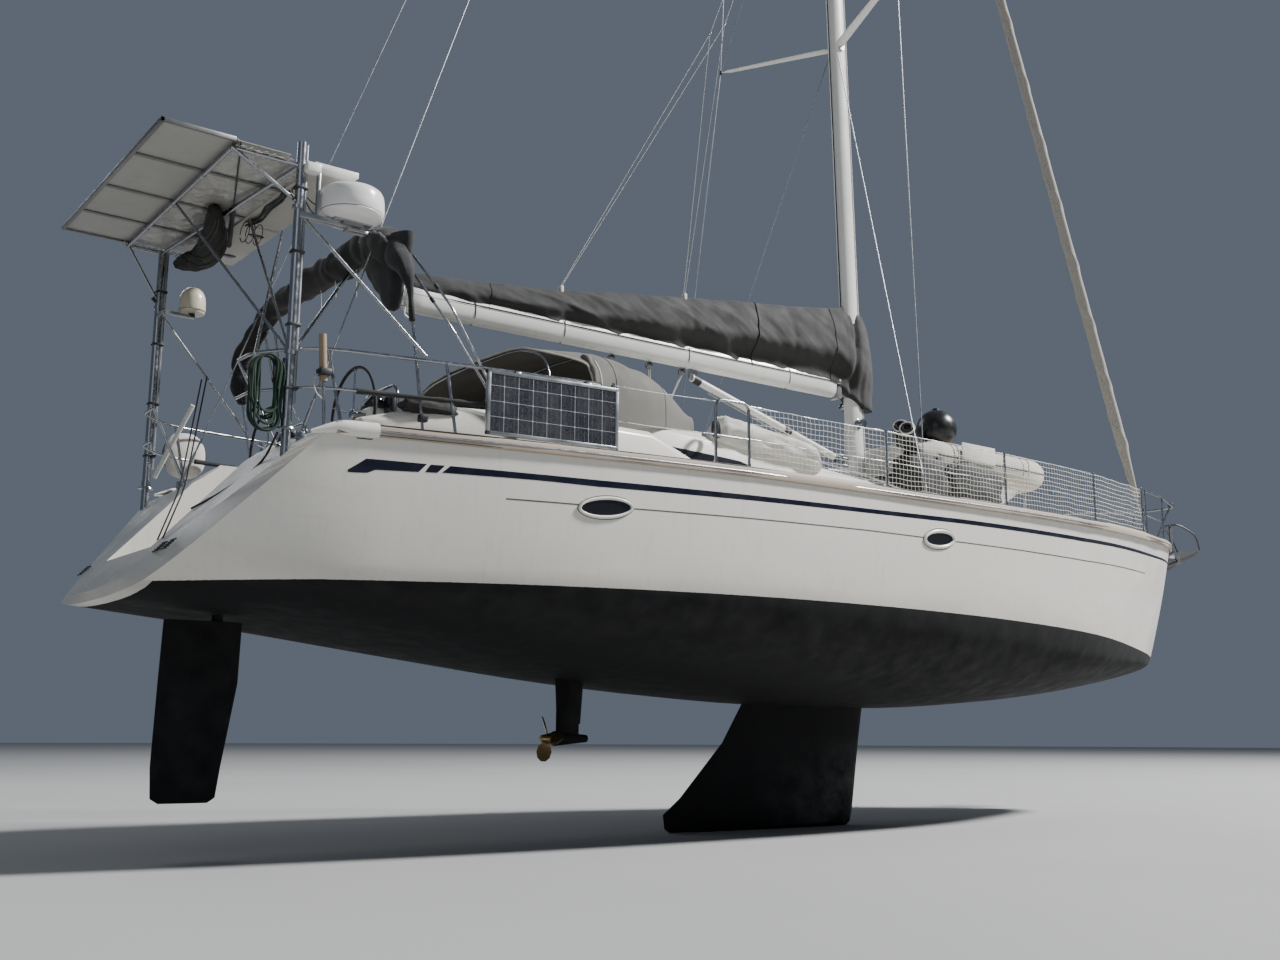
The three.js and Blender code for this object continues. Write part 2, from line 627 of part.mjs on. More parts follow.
// Boom, vang and the packed mainsail under its cover
const BOOM_SLOPE = (BOOM.bottomAft - BOOM.bottomFore) / (BOOM.fore - BOOM.aft);
const boomBottom = (x) => BOOM.bottomFore + (BOOM.fore - x) * BOOM_SLOPE;
const boomLoop = (x) => ellipseLoop(
  [x, 0, boomBottom(x) + BOOM.depth / 2], BOOM.depth / 2, BOOM.width / 2, Z, Y, 12, 0.5,
);
const boomSpar = loft([BOOM.aft, BOOM.fore].map(boomLoop));
const boomTongue = joined([
  box(BOOM.fore - 40, GOOSENECK.x, -16, 16, GOOSENECK.z - 51, GOOSENECK.z + 51),
  rod([GOOSENECK.x, 0, GOOSENECK.z - 51.4], [GOOSENECK.x, 0, GOOSENECK.z + 51.4], 20, 12),
]);
const vangLug = box(
  VANG.x - 60, VANG.x + 60, -14, 14, boomBottom(VANG.x) - 58, boomBottom(VANG.x) + 40,
);
addPiece("boom", joined([boomSpar, boomTongue, vangLug]), "spar_white");
const vangTop = [VANG.x, 0, boomBottom(VANG.x) - 104];
const vangAt = (distance) => {
  const [dx, dz] = [vangTop[0] - GOOSENECK.x, vangTop[2] - VANG.foot];
  const share = distance / Math.hypot(dx, dz);
  return [GOOSENECK.x + dx * share, 0, VANG.foot + dz * share];
};
const vang = joined([
  rod(vangAt(VANG.neckLength - 10), vangTop, VANG.radius, 10),
  rod(vangAt(0), vangAt(VANG.neckLength), VANG.neck, 8),
  rod([GOOSENECK.x, 0, VANG.foot - 33.6], [GOOSENECK.x, 0, VANG.foot + 33.6], 20, 12),
]);
addPiece(
  "vang", largest(vang.subtract(vangLug.translate([0, 0, -GAP])).subtract(vangLug)), "spar_white",
);

// Sail cover. Rows of x, half width at the foot, widest half width and top height.
const COVER_SECTIONS = [
  [-4760, 62, 70, 3340],
  [-3310, 84, 130, 3520],
  [-1330, 86, 185, 3830],
  [300, 84, 205, 4060],
  [850, 62, 110, 4150],
];
const coverLoops = COVER_SECTIONS.map(([x, foot, wide, top]) => {
  const bottom = boomBottom(x) + BOOM.depth * 0.62;
  const rise = top - bottom;
  const side = [
    [foot + 10, bottom], [wide, bottom + rise * 0.38], [wide * 0.75, bottom + rise * 0.72], [22, top],
  ];
  return [...side.map(([y, z]) => [x, y, z]), ...side.reverse().map(([y, z]) => [x, -y, z])];
});
const boomEnvelope = loft(
  [BOOM.aft - 100, BOOM.fore + 100].map(
    (x) => ellipseLoop(
      [x, 0, boomBottom(x) + BOOM.depth / 2], BOOM.depth / 2 + 0.5, BOOM.width / 2 + 0.5, Z, Y, 12, 0.5,
    )
  )
);
addPiece("sail_cover", largest(loft(coverLoops).subtract(boomEnvelope)), "canvas_grey");
// Front of the cover, wrapped round the mast. Rows of height, reach forward of the mast and half width.
const COLLAR_SECTIONS = [
  [2940, 150, 165],
  [3500, 185, 195],
  [4000, 160, 180],
  [4230, 90, 135],
];
const collarOuter = loft(
  COLLAR_SECTIONS.map(
    ([z, reach, half]) => ellipseLoop([mastX(z) + 10, 0, z], MAST.length / 2 + reach, half, X, Y, 16)
  )
);
const mastBore = loft(
  [2900, 4300].map(
    (z) => ellipseLoop([mastX(z), 0, z], MAST.length / 2 + 0.5, MAST.width / 2 + 0.5, X, Y, 14)
  )
);
const collarBack = box(400, 1130, -400, 400, 2800, 4400);
addPiece("cover_collar", largest(collarOuter.subtract(mastBore).subtract(collarBack)), "canvas_grey");

const stemTrim = joined([hull, hull.translate([0, GAP, 0]), hull.translate([0, -GAP, 0])]);

// Furled headsail on its stay, with the furling drum at the foot
const stayAt = (t) => [
  FORESTAY.footX + t * (FORESTAY.headX - FORESTAY.footX), 0,
  FORESTAY.footZ + t * (FORESTAY.headZ - FORESTAY.footZ),
];
const furledRoll = joined([
  rod(stayAt(0.03), stayAt(0.5), 78, 10, 62),
  rod(stayAt(0.499), stayAt(0.97), 62, 10, 24),
  rod(stayAt(0.0), stayAt(0.035), 22, 10),
  rod(stayAt(0.966), stayAt(0.998), 12, 10),
]);
addPiece("furled_headsail", furledRoll, "sail_roll");
addPiece("furling_drum", rod(stayAt(-0.0065), stayAt(-0.00003), 66, 16), "aluminium");
addPiece("stem_fitting", seated(rod(stayAt(-0.0118), stayAt(-0.00653), 20, 8), stemTrim), "steel");

// Standing rigging. Cap shroud over the spreader tips and a lower shroud, joined at the chainplate.
const CHAINPLATE = { x: 30, y: 2090 };
const BACKSTAY_FOOT = { x: -6370, y: 1330 };
for (const { side, sign } of SIDES) {
  const foot = [CHAINPLATE.x, sign * CHAINPLATE.y, deckZ(CHAINPLATE.x, CHAINPLATE.y)];
  const wire = 6;
  const tips = SPREADERS.map((row) => {
    const [x, y, z] = spreaderTip(row, sign);
    return [x - 4, y + sign * (wire + 1.2), z];
  });
  const head = [mastX(20400) - 20, sign * (MAST.width * 0.31 + wire + 8), 20300];
  const route = [[foot[0], foot[1], foot[2] + 70], ...tips, head];
  const strands = route.slice(1).map((point, k) => rod(route[k], point, wire, 5));
  const lowerHead = [mastX(7500) - 70, sign * (MAST.width / 2 + 2), 7480];
  const lower = rod([foot[0] + 30, foot[1] - sign * 15, foot[2] + 80], lowerHead, wire, 5);
  const plate = box(
    foot[0] - 60, foot[0] + 90, foot[1] - 22, foot[1] + 22, foot[2] - 60, foot[2] + 110,
  );
  const rig = joined([...strands, lower, plate]).subtract(mast.translate([0, 0, 0.001]));
  addPiece(`shrouds_${side}`, seated(largest(rig), hull), "steel");
  const stayFoot = [
    BACKSTAY_FOOT.x, sign * BACKSTAY_FOOT.y, deckZ(BACKSTAY_FOOT.x + 60, BACKSTAY_FOOT.y),
  ];
  const stay = joined([
    rod([stayFoot[0] + 12, stayFoot[1], stayFoot[2] + 30], [mastX(20400) - 336.4, sign * 30, 20420], wire, 5),
    box(
      stayFoot[0] - 25, stayFoot[0] + 45, stayFoot[1] - 25, stayFoot[1] + 25, stayFoot[2] - 60,
      stayFoot[2] + 60,
    ),
  ]);
  addPiece(`backstay_${side}`, seated(stay, hull), "steel");
}

// Guard rails: stanchions on both sides, with two wires, in two lengths that part at the gate
const RAIL_LENGTHS = [
  { length: "fore", stanchions: [-650, 1250, 3150, 4800] },
  { length: "aft", stanchions: [-3900, -2820, -2440, -650] },
];
const RAIL_HEIGHT = 610;
const RAIL_INSET = 70;
const railPoint = (x, sign, height) => [
  x, sign * (sheerAt(x).beam - RAIL_INSET), sheerAt(x).z + height,
];
for (const { side, sign } of SIDES) {
  let gatePost;
  for (const { length, stanchions } of RAIL_LENGTHS) {
    const posts = (gatePost ? stanchions.slice(0, -1) : stanchions).map(
      (x) => rod(railPoint(x, sign, -60), railPoint(x, sign, RAIL_HEIGHT + 12), 13, 6)
    );
    const wires = [0.5, 1].flatMap((share) => stanchions.slice(1).map((x, k) =>
      rod(
        railPoint(stanchions[k], sign, RAIL_HEIGHT * share),
        railPoint(x, sign, RAIL_HEIGHT * share), 5, 4,
      )));
    const rail = joined([...posts, ...wires]);
    const clear = gatePost ? largest(rail.subtract(gatePost)) : rail;
    gatePost = joined([posts[0], posts[0].translate([-GAP, 0, 0])]);
    addPiece(`guard_rail_${length}_${side}`, seated(clear, hull.translate([0, 0, 0.2])), "steel");
  }
}

// Pulpit at the bow
const pulpitTop = SIDES.flatMap(
  ({ sign }) => [
    [railPoint(4980, sign, RAIL_HEIGHT), railPoint(6300, sign, 680), [7700, sign * 250, 2400]]
  ]
);
const pulpit = joined([
  bentTube(
    [
      pulpitTop[0][0], pulpitTop[0][1], pulpitTop[0][2], pulpitTop[1][2], pulpitTop[1][1],
      pulpitTop[1][0],
    ],
    15, 140, 30,
  ),
  ...SIDES.flatMap(({ sign }) => [
    rod(railPoint(4980, sign, -60), railPoint(4980, sign, RAIL_HEIGHT), 13, 6),
    rod(railPoint(6150, sign, -60), railPoint(6250, sign, 672), 15, 6),
    rod([7040, sign * 235, 1620], [7560, sign * 265, 2380], 15, 6),
    rod(railPoint(4980, sign, RAIL_HEIGHT / 2), railPoint(6200, sign, 330), 8, 5),
    rod(railPoint(6200, sign, 330), [7330, sign * 300, 2040], 12, 6),
  ]),
]);
addPiece("pulpit", seated(pulpit, hull.translate([0, 0, 0.2])), "steel");

// Pushpits round the stern quarters
for (const { side, sign } of SIDES) {
  const rail = (height) => [
    railPoint(-4020, sign, height), railPoint(-5400, sign, height), [-6400, sign * 1690, 1345 + height],
    [-6760, sign * 1290, 1330 + height], [-6760, sign * 1000, 1330 + height],
  ];
  const topRail = rail(RAIL_HEIGHT);
  const midRail = rail(RAIL_HEIGHT / 2);
  const pushpit = joined([
    bentTube(topRail, 14, 220, 18),
    bentTube(midRail, 11, 220, 18, 5),
    rod(railPoint(-4020, sign, -60), topRail[0], 14, 6),
    rod(railPoint(-5300, sign, -60), railPoint(-5400, sign, RAIL_HEIGHT), 14, 6),
    rod([-6180, sign * 1700, 1250], [-6320, sign * 1690, 1345 + RAIL_HEIGHT], 14, 6),
    rod([-6420, sign * 1040, 1250], topRail[4], 14, 6),
  ]);
  addPiece(`pushpit_${side}`, seated(pushpit, hull.translate([0, 0, 0.2])), "steel");
}

// Stern gantry with the solar array on top
const arrayZ = (y) => ARRAY.z + ARRAY.tilt * y;
const arrayAft = (y) => ARRAY.aft + 0.055 * (y - ARRAY.starboard);
const barX = (y) => ARRAY.bar + 0.067 * (y - ARRAY.starboard);
const barZ = (y) => arrayZ(y) - 22;
const POST_HEADS = { "-1": 170, "1": -5 };
const gantryParts = SIDES.flatMap(({ sign }) => [
  rod(
    [POST.x, sign * POST.y, 1050],
    [POST.x + 10, sign * POST.y, arrayZ(sign * POST.y) + POST_HEADS[sign]], POST.radius, 8,
  ),
  rod(
    [POST.x, sign * POST.y, 3100], [barX(sign * POST.y), sign * POST.y, barZ(sign * POST.y)], 15, 6,
  ),
  rod([POST.x, sign * POST.y, 3030], [-5560, sign * 1830, 1350 + RAIL_HEIGHT + 40], 15, 6),
  rod(
    [barX(sign * POST.y) - 15, sign * POST.y, barZ(sign * POST.y)],
    [POST.x, sign * POST.y, barZ(sign * POST.y)], 20, 6,
  ),
]);
const BRACE_FOOT = [POST.x, -POST.y, 1900];
gantryParts.push(
  rod([POST.x, -POST.y, barZ(-POST.y)], [POST.x, POST.y, barZ(POST.y)], 20, 6),
  rod([barX(-POST.y), -POST.y, barZ(-POST.y)], [barX(POST.y), POST.y, barZ(POST.y)], 18, 6),
  rod(BRACE_FOOT, [barX(0), 0, barZ(0)], 12, 6),
  rod(BRACE_FOOT, [-6360, 0, arrayZ(0) - 16], 12, 6),
);
const radarAt = [-6156, -1620, 3034];
const smallDomeAt = [-6330, 1430, 3010];
gantryParts.push(
  box(
    radarAt[0] - 160, radarAt[0] + 160, radarAt[1] - 60, radarAt[1] + 60, radarAt[2] - 14,
    radarAt[2] - GAP,
  ),
  box(POST.x, radarAt[0], radarAt[1] - 25, radarAt[1] + 25, radarAt[2] - 60, radarAt[2] - 10),
  box(
    -6590, smallDomeAt[0] + 30, smallDomeAt[1] - 20, smallDomeAt[1] + 20, smallDomeAt[2] - 50,
    smallDomeAt[2] - 10,
  ),
  rod(
    [smallDomeAt[0], smallDomeAt[1], smallDomeAt[2] - 48],
    [smallDomeAt[0], smallDomeAt[1], smallDomeAt[2] - GAP], 30, 10,
  ),
  box(-6610, -6570, smallDomeAt[1] - 20, POST.y, smallDomeAt[2] - 50, smallDomeAt[2] - 10),
);
const gantry = joined(gantryParts);
addPiece(
  "gantry",
  seated(gantry.subtract(box(-6000, -5400, -2100, 2100, 1000, 1985)), hull.translate([0, 0, 0.2])),
  "aluminium",
);
const arrayCorners = [
  [arrayAft(ARRAY.starboard), ARRAY.starboard], [POST.x - 30, ARRAY.starboard],
  [ARRAY.foreStarboard, ARRAY.starboard + 75],
  [ARRAY.forePort, ARRAY.port], [arrayAft(ARRAY.port), ARRAY.port],
];
const arraySlab = loft(
  [-1.2, ARRAY.thickness - 1.2].map((rise) => arrayCorners.map(([x, y]) => [x, y, arrayZ(y) + rise]))
);
const postNotch = box(POST.x - 90, POST.x + 90, ARRAY.starboard - 10, -POST.y + 70, 3380, 3600);
addPiece("solar_array", arraySlab.subtract(postNotch), "solar_cell");

// Solar panel lashed to the starboard guard rail
const SIDE_PANEL = { aft: -5080, fore: -3880, bottom: 1420, top: 1950, thickness: 34, standOff: 19.1 };
const panelY = (x) => -(sheerAt(x).beam - RAIL_INSET) - SIDE_PANEL.standOff - SIDE_PANEL.thickness;
const sidePanel = loft([0, 1].map((k) => [
  [SIDE_PANEL.aft, SIDE_PANEL.bottom], [SIDE_PANEL.fore, SIDE_PANEL.bottom],
  [SIDE_PANEL.fore, SIDE_PANEL.top], [SIDE_PANEL.aft, SIDE_PANEL.top],
].map(([x, z]) => [x, panelY(x) + k * SIDE_PANEL.thickness, z])));
addPiece("side_solar_panel", sidePanel, "solar_cell");

// Radar dome on its bracket, and the small dome to port
const radarRows = [[0, 0], [185, 0], [249, 45], [259, 127], [250, 210], [210, 262], [0, 281]];
addPiece("radar_dome", turned(radarRows, ...radarAt, 20), "dome_white");
const smallDomeRows = [[0, 0], [112, 0], [125, 40], [122, 130], [95, 215], [45, 258], [0, 265]];
addPiece("small_dome", turned(smallDomeRows, ...smallDomeAt, 16), "dome_white");

// Bimini hoop with its canvas rolled on it
const HOOP = { x: -5720, topX: -5620, halfWidth: 1780, shoulderZ: 2700, topHalf: 1150, topZ: 3170 };
const hoopPoints = [
  [HOOP.x + 220, -HOOP.halfWidth + 75, 1420], [HOOP.x, -HOOP.halfWidth, HOOP.shoulderZ],
  [HOOP.topX, -HOOP.topHalf, HOOP.topZ],
  [HOOP.topX, HOOP.topHalf, HOOP.topZ], [HOOP.x, HOOP.halfWidth, HOOP.shoulderZ],
  [HOOP.x + 220, HOOP.halfWidth - 75, 1420],
];
const hoop = bentTube(hoopPoints, 13, 260, 34);
const hoopFeet = joined(
  SIDES.map(
    ({ sign }) => rod(
      [HOOP.x + 225, sign * (HOOP.halfWidth - 77), 1200],
      [HOOP.x + 215, sign * (HOOP.halfWidth - 73), 1450], 16, 6,
    )
  )
);
addPiece("bimini_hoop", largest(hoop.add(hoopFeet).subtract(hull.translate([0, 0, GAP]))), "steel");
const ROLL_RADIUS = 86;
const rollPoints = [
  [HOOP.x + 72, -HOOP.halfWidth + 25, 2280], [HOOP.x, -HOOP.halfWidth, HOOP.shoulderZ],
  [HOOP.topX, -HOOP.topHalf, HOOP.topZ],
  [HOOP.topX, HOOP.topHalf, HOOP.topZ], [HOOP.x, HOOP.halfWidth, HOOP.shoulderZ],
  [HOOP.x + 72, HOOP.halfWidth - 25, 2280],
];
const canvasRoll = bentTube(rollPoints, ROLL_RADIUS, 260, 28, 8);
addPiece("rolled_bimini", canvasRoll.translate([ROLL_RADIUS + 15, 0, 0]), "canvas_black");

// Sprayhood: an open shell over the companionway. Rows of x, half width, foot height and top height.
const HOOD_SECTIONS = [
  [-4080, 1350, 1770, 2600],
  [-3500, 1345, 1772, 2680],
  [-2900, 1260, 1900, 2640],
  [-2080, 940, 2040, 2262],
];
const HOOD_ANGLES = [0, 22, 45, 68, 90, 112, 135, 158, 180];
const HOOD_THICKNESS = 16;
const hoodLoop = (inset, shift) => ([x, half, foot, top]) => HOOD_ANGLES.map((degrees) => {
  const angle = (degrees * Math.PI) / 180;
  const flat = Math.sign(Math.cos(angle)) * Math.abs(Math.cos(angle)) ** 0.62;
  return [x + shift, (half - inset) * flat, foot + (top - foot - inset) * Math.sin(angle) ** 0.42];
});
const hoodOuter = loft(HOOD_SECTIONS.map(hoodLoop(0, 0)));
const hoodInner = loft(
  HOOD_SECTIONS.map(
    ([x, half, foot, top]) => [x, half, foot - 30, top]
  ).map(hoodLoop(HOOD_THICKNESS, -24))
);
const hoodBase = box(-4200, -2000, -1500, 1500, 1500, 1773);
const hoodBlock = joined(
  [hoodBase, roofBlock.translate([0, 0, GAP * 2]), roof.translate([0, 0, GAP]), roof, hull]
);
const coamingBlock = joined(SIDES.map(({ sign }) => loft(COAMING_SECTIONS.map(([x, inner, outer, top]) => [
  [x, sign * inner, 1150], [x, sign * inner, top], [x, sign * (outer - 60), top - 6],
  [x, sign * outer, top - 60], [x, sign * (outer + 60), 1150],
]))));
addPiece(
  "sprayhood", largest(hoodOuter.subtract(hoodInner).subtract(hoodBlock).subtract(coamingBlock)),
  "canvas_taupe",
);

// Bow roller, anchor and windlass
const ROLLER = { aft: 7478, fore: 7960, half: 62, floor: 1724, top: 1800 };
const roller = joined([
  box(ROLLER.aft, ROLLER.fore, -ROLLER.half, -ROLLER.half + 12, ROLLER.floor - 40, ROLLER.top),
  box(ROLLER.aft, ROLLER.fore, ROLLER.half - 12, ROLLER.half, ROLLER.floor - 40, ROLLER.top),
  box(ROLLER.aft, ROLLER.fore - 100, -ROLLER.half, ROLLER.half, ROLLER.floor, ROLLER.floor + 12),
  rod([ROLLER.fore - 60, -ROLLER.half, 1762], [ROLLER.fore - 60, ROLLER.half, 1762], 30, 10),
]);
addPiece("bow_roller", seated(roller, joined([stemTrim, hull.translate([GAP, 0, 0])])), "steel");
const anchorShank = slab(
  [[7505, 1830], [7950, 1830], [8180, 1730], [8150, 1650], [7900, 1796], [7505, 1796]], 0, 24,
);
const anchorFluke = loft([
  [7620, 1440, 10, 20], [7900, 1560, 150, 30], [8250, 1700, 210, 34], [8540, 1840, 190, 20],
].map(([x, z, half, thick]) => [
  [x, -half, z + 30], [x, 0, z - thick], [x, half, z + 30], [x, 0, z + 16],
]));
const anchorBar = bentTube(
  [
    [8450, -180, 1850], [8330, -200, 2060], [8000, -120, 2200], [7990, 120, 2200], [8330, 200, 2060],
    [8450, 180, 1850],
  ],
  13, 80, 16,
);
const anchorStem = box(7960, 8020, -12, 12, 1790, 2200);
const anchorTrim = joined([roller.translate([0, 0, GAP]), roller.translate([0, 0, 2 * GAP])]);
addPiece(
  "anchor", largest(joined([anchorShank, anchorFluke, anchorBar, anchorStem]).subtract(anchorTrim)),
  "steel",
);
const windlass = joined([
  box(6620, 6860, -110, 110, 1500, 1790),
  rod([6740, -200, 1800], [6740, 200, 1800], 62, 12),
]);
addPiece("windlass", seated(windlass, hull), "steel");

// Tender on its keel on the fore end of the coachroof, with a chock under its bow
const TENDER = { aft: 1620, fore: 4585, halfWidth: 760, tube: 205, z: 2360, bowRise: 120 };
const tubeCentre = TENDER.halfWidth - TENDER.tube;
const tenderPath = [
  [TENDER.aft, -tubeCentre, TENDER.z], [3650, -tubeCentre, TENDER.z],
  [TENDER.fore - 205, -190, TENDER.z + TENDER.bowRise],
  [TENDER.fore - 205, 190, TENDER.z + TENDER.bowRise], [3650, tubeCentre, TENDER.z],
  [TENDER.aft, tubeCentre, TENDER.z],
];
// Rows of x, half width, height of the chine and height of the keel
const tenderBottom = loft([
  [1750, 452, 2210, 1898], [3300, 461, 2210, 1912], [3900, 380, 2250, 2010], [4400, 150, 2430, 2330],
].map(([x, half, chine, keelZ]) => [
  [x, -half, chine], [x, 0, chine + 50], [x, half, chine], [x, 0, keelZ],
]));
const tender = joined(
  [
    bentTube(tenderPath, TENDER.tube, 330, 20, 8), tenderBottom,
    box(TENDER.aft + 117, TENDER.aft + 163, -431, 431, 2215, 2560),
    box(3080, 3200, -230, 230, 1606, 2040),
  ]
);
const tenderSeated = seated(tender, joined([hull, roof, roof.translate([0, 0, GAP])]));
addPiece("tender", tenderSeated, "tender_fabric");

// Ball fender stowed in the tender, against its starboard tube
addPiece(
  "ball_fender",
  largest(
    solidOf(new THREE.SphereGeometry(250, 16, 10).translate(2240, -420, 2766))
      .subtract(tenderSeated.translate([0, 0, GAP]))
      .subtract(tenderSeated)
  ),
  "rubber",
);

// Lifebuoy in its bag on the port pushpit, and the hose hank on the starboard post
const buoyBag = slab(
  [
    [-6330, 1480], [-5990, 1480], [-5940, 1600], [-5960, 1880], [-6060, 1950], [-6270, 1950],
    [-6360, 1860], [-6380, 1600],
  ],
  1862.0, 150,
);
addPiece("lifebuoy_bag", largest(buoyBag.subtract(hull)), "buoy_white");
const HANK = { halfWidth: 135, halfHeight: 300, depth: 110, z: 1560 };
const hankOuter = new THREE.Shape();
hankOuter.absellipse(0, 0, HANK.halfWidth, HANK.halfHeight, 0, 2 * Math.PI);
const hankInner = new THREE.Path();
hankInner.absellipse(0, 0, 50, 200, 0, 2 * Math.PI, true);
hankOuter.holes.push(hankInner);
const hank = new THREE.ExtrudeGeometry(
  hankOuter, { depth: HANK.depth, bevelEnabled: false, curveSegments: 10 },
);
hank.rotateX(Math.PI / 2);
hank.translate(POST.x - POST.radius - HANK.halfWidth + 1.5, -POST.y + HANK.depth / 2, HANK.z);
addPiece("hose_hank", solidOf(hank), "hose_green");

export default group;
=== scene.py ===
"""The skin, rig, canvas and gear of a cruising sloop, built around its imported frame."""
from math import atan2, copysign, cos, exp, pi, radians, sin, tau

import bmesh
import bpy
from bpy.props import FloatProperty, FloatVectorProperty, IntProperty, PointerProperty
from mathutils import Matrix, Vector, noise
from mathutils.bvhtree import BVHTree


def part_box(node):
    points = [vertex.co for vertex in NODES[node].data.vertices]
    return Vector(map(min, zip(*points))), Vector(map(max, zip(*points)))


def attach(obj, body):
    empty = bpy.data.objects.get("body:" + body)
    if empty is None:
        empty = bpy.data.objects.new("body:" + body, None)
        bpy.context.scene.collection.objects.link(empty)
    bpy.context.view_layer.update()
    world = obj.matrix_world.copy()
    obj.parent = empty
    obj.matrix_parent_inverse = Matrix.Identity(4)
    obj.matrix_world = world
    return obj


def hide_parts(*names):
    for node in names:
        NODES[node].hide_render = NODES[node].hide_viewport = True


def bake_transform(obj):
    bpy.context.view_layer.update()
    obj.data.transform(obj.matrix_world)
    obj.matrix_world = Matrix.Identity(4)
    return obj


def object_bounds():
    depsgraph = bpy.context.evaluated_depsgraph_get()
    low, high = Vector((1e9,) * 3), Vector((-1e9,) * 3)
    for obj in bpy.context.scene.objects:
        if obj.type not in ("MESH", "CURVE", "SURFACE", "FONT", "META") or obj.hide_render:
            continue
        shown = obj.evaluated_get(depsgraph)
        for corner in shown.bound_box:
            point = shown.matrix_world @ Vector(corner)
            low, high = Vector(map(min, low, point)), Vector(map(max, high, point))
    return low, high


bl_info = {"name": "Cruising sloop", "version": (1, 0, 0), "blender": (4, 5, 0),
    "location": "3D View > Sidebar > Sloop",
    "description": "Builds the hull finish, rig, canvas and deck gear of a cruising sloop",
    "category": "Object"}

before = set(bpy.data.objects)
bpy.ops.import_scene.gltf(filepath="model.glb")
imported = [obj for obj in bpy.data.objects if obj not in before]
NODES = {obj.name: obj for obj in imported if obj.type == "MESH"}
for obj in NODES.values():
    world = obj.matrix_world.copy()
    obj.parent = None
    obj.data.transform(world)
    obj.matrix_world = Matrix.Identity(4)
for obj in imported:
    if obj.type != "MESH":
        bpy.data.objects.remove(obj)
CAD_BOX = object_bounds()
SIDES = (("stbd", -1), ("port", 1))
FLOOR_Z = CAD_BOX[0][2] - 0.004
MAST_RAKE = 0.028
MAST_HALF = (0.13, 0.085)
BOOM_ENDS = (-4.9, 0.95)
RAIL = 0.61
STANCHIONS = (-3.9, -2.82, -2.44, -0.65, 1.25, 3.15, 4.8)
# Hub and radius of a steering wheel, and place of a gantry post, both as on the port side
WHEEL = (-5.72, 0.9, 1.68, 0.4)
POST = (-6.59, 1.6)
# Rows of x, half beam and height of the sheer
SHEER = ((-6.28, 1.8, 1.346), (-5.0, 2.012, 1.359), (-3.9, 2.139, 1.375), (-2.82, 2.214, 1.395),
    (-2.44, 2.232, 1.401), (-0.65, 2.26, 1.418), (0.3, 2.255, 1.43), (1.25, 2.224, 1.445),
    (2.2, 2.15, 1.465), (3.15, 2.024, 1.489), (4.8, 1.602, 1.553), (5.5, 1.36, 1.585), (6.3, 0.984, 1.627),
    (7.4, 0.1, 1.7))


def colour_property(name, description, default):
    return FloatVectorProperty(name=name, description=description, default=default, min=0.0, max=1.0,
        size=3, subtype="COLOR")


def length_property(name, description, default, least):
    return FloatProperty(name=name, description=description, default=default, min=least, unit="LENGTH")


class YachtColours(bpy.types.PropertyGroup):
    gelcoat: colour_property("Gelcoat", "Colour of the topsides and mouldings", (0.78, 0.755, 0.69))
    antifouling: colour_property("Antifouling", "Colour of the paint below the water",
        (0.0035, 0.0037, 0.0045))
    stripe: colour_property("Stripe", "Colour of the band along the topsides", (0.004, 0.006, 0.018))
    cover: colour_property("Sail cover", "Colour of the cover on the boom", (0.024, 0.0237, 0.0228))
    hood: colour_property("Sprayhood", "Colour of the sprayhood's cloth", (0.145, 0.139, 0.12))
    tender: colour_property("Tender", "Colour of the tender's cover", (0.44, 0.40, 0.33))


class YachtSizes(bpy.types.PropertyGroup):
    wire: length_property("Rigging wire", "Thickness of the standing rigging", 0.012, 0.004)
    rail_tube: length_property("Rail tube", "Thickness of the pulpit and stanchion tubes", 0.028, 0.015)
    net_mesh: length_property("Net mesh", "Width of one mesh of the guard rail net", 0.055, 0.03)
    hose: length_property("Hose", "Thickness of the deck hose", 0.017, 0.008)
    hose_turns: IntProperty(name="Hose turns", description="Number of loops in the hank of hose",
        default=14, min=4, max=20)


def sizes():
    return bpy.context.scene.yacht_sizes


def colours():
    return bpy.context.scene.yacht_colours


# Places on the yacht
def between(table, x):
    """The numbers of a table at a place along it, straight between its rows."""
    for low, high in zip(table, table[1:]):
        if x <= high[0]:
            break
    share = (x - low[0]) / (high[0] - low[0])
    return [a + (b - a) * share for a, b in zip(low, high)]


def smooth_between(table, x):
    """As between, on a smooth curve through the rows."""
    last = len(table) - 1
    at = next((i for i in range(last) if x <= table[i + 1][0]), last - 1)
    low, high = table[at], table[at + 1]
    before, after = table[max(0, at - 1)], table[min(last, at + 2)]
    span = high[0] - low[0]
    t = clamped((x - low[0]) / span)
    found = []
    for k in range(len(low)):
        leave = (high[k] - before[k]) / (high[0] - before[0]) * span
        reach = (after[k] - low[k]) / (after[0] - low[0]) * span
        found.append((2 * t**3 - 3 * t**2 + 1) * low[k] + (3 * t**2 - 2 * t**3) * high[k]
            + (t**3 - 2 * t**2 + t) * leave + (t**3 - t**2) * reach)
    return found


def clamped(share):
    return min(1.0, max(0.0, share))


def eased(value, power):
    """A number raised to a power, with its sign kept."""
    return copysign(abs(value) ** power, value)


def mirrored(points):
    """Points carried over to the boat's other side."""
    return [Vector((x, -y, z)) for x, y, z in points]


def mast_x(z):
    return 1.25 - MAST_RAKE * (z - 2.0)


def boom_bottom(x):
    return 3.04 - (0.95 - x) * 0.06 / 5.85


def rail_point(x, sign, height, inset=0.07):
    _, beam, z = between(SHEER, x)
    return Vector((x, sign * (beam - inset), z + height))


def waver(point, size, seed=0.0):
    """A smooth wander between -1 and 1 over places size metres apart."""
    return noise.noise(Vector(point) / size + Vector((seed, seed * 1.7, -seed)))


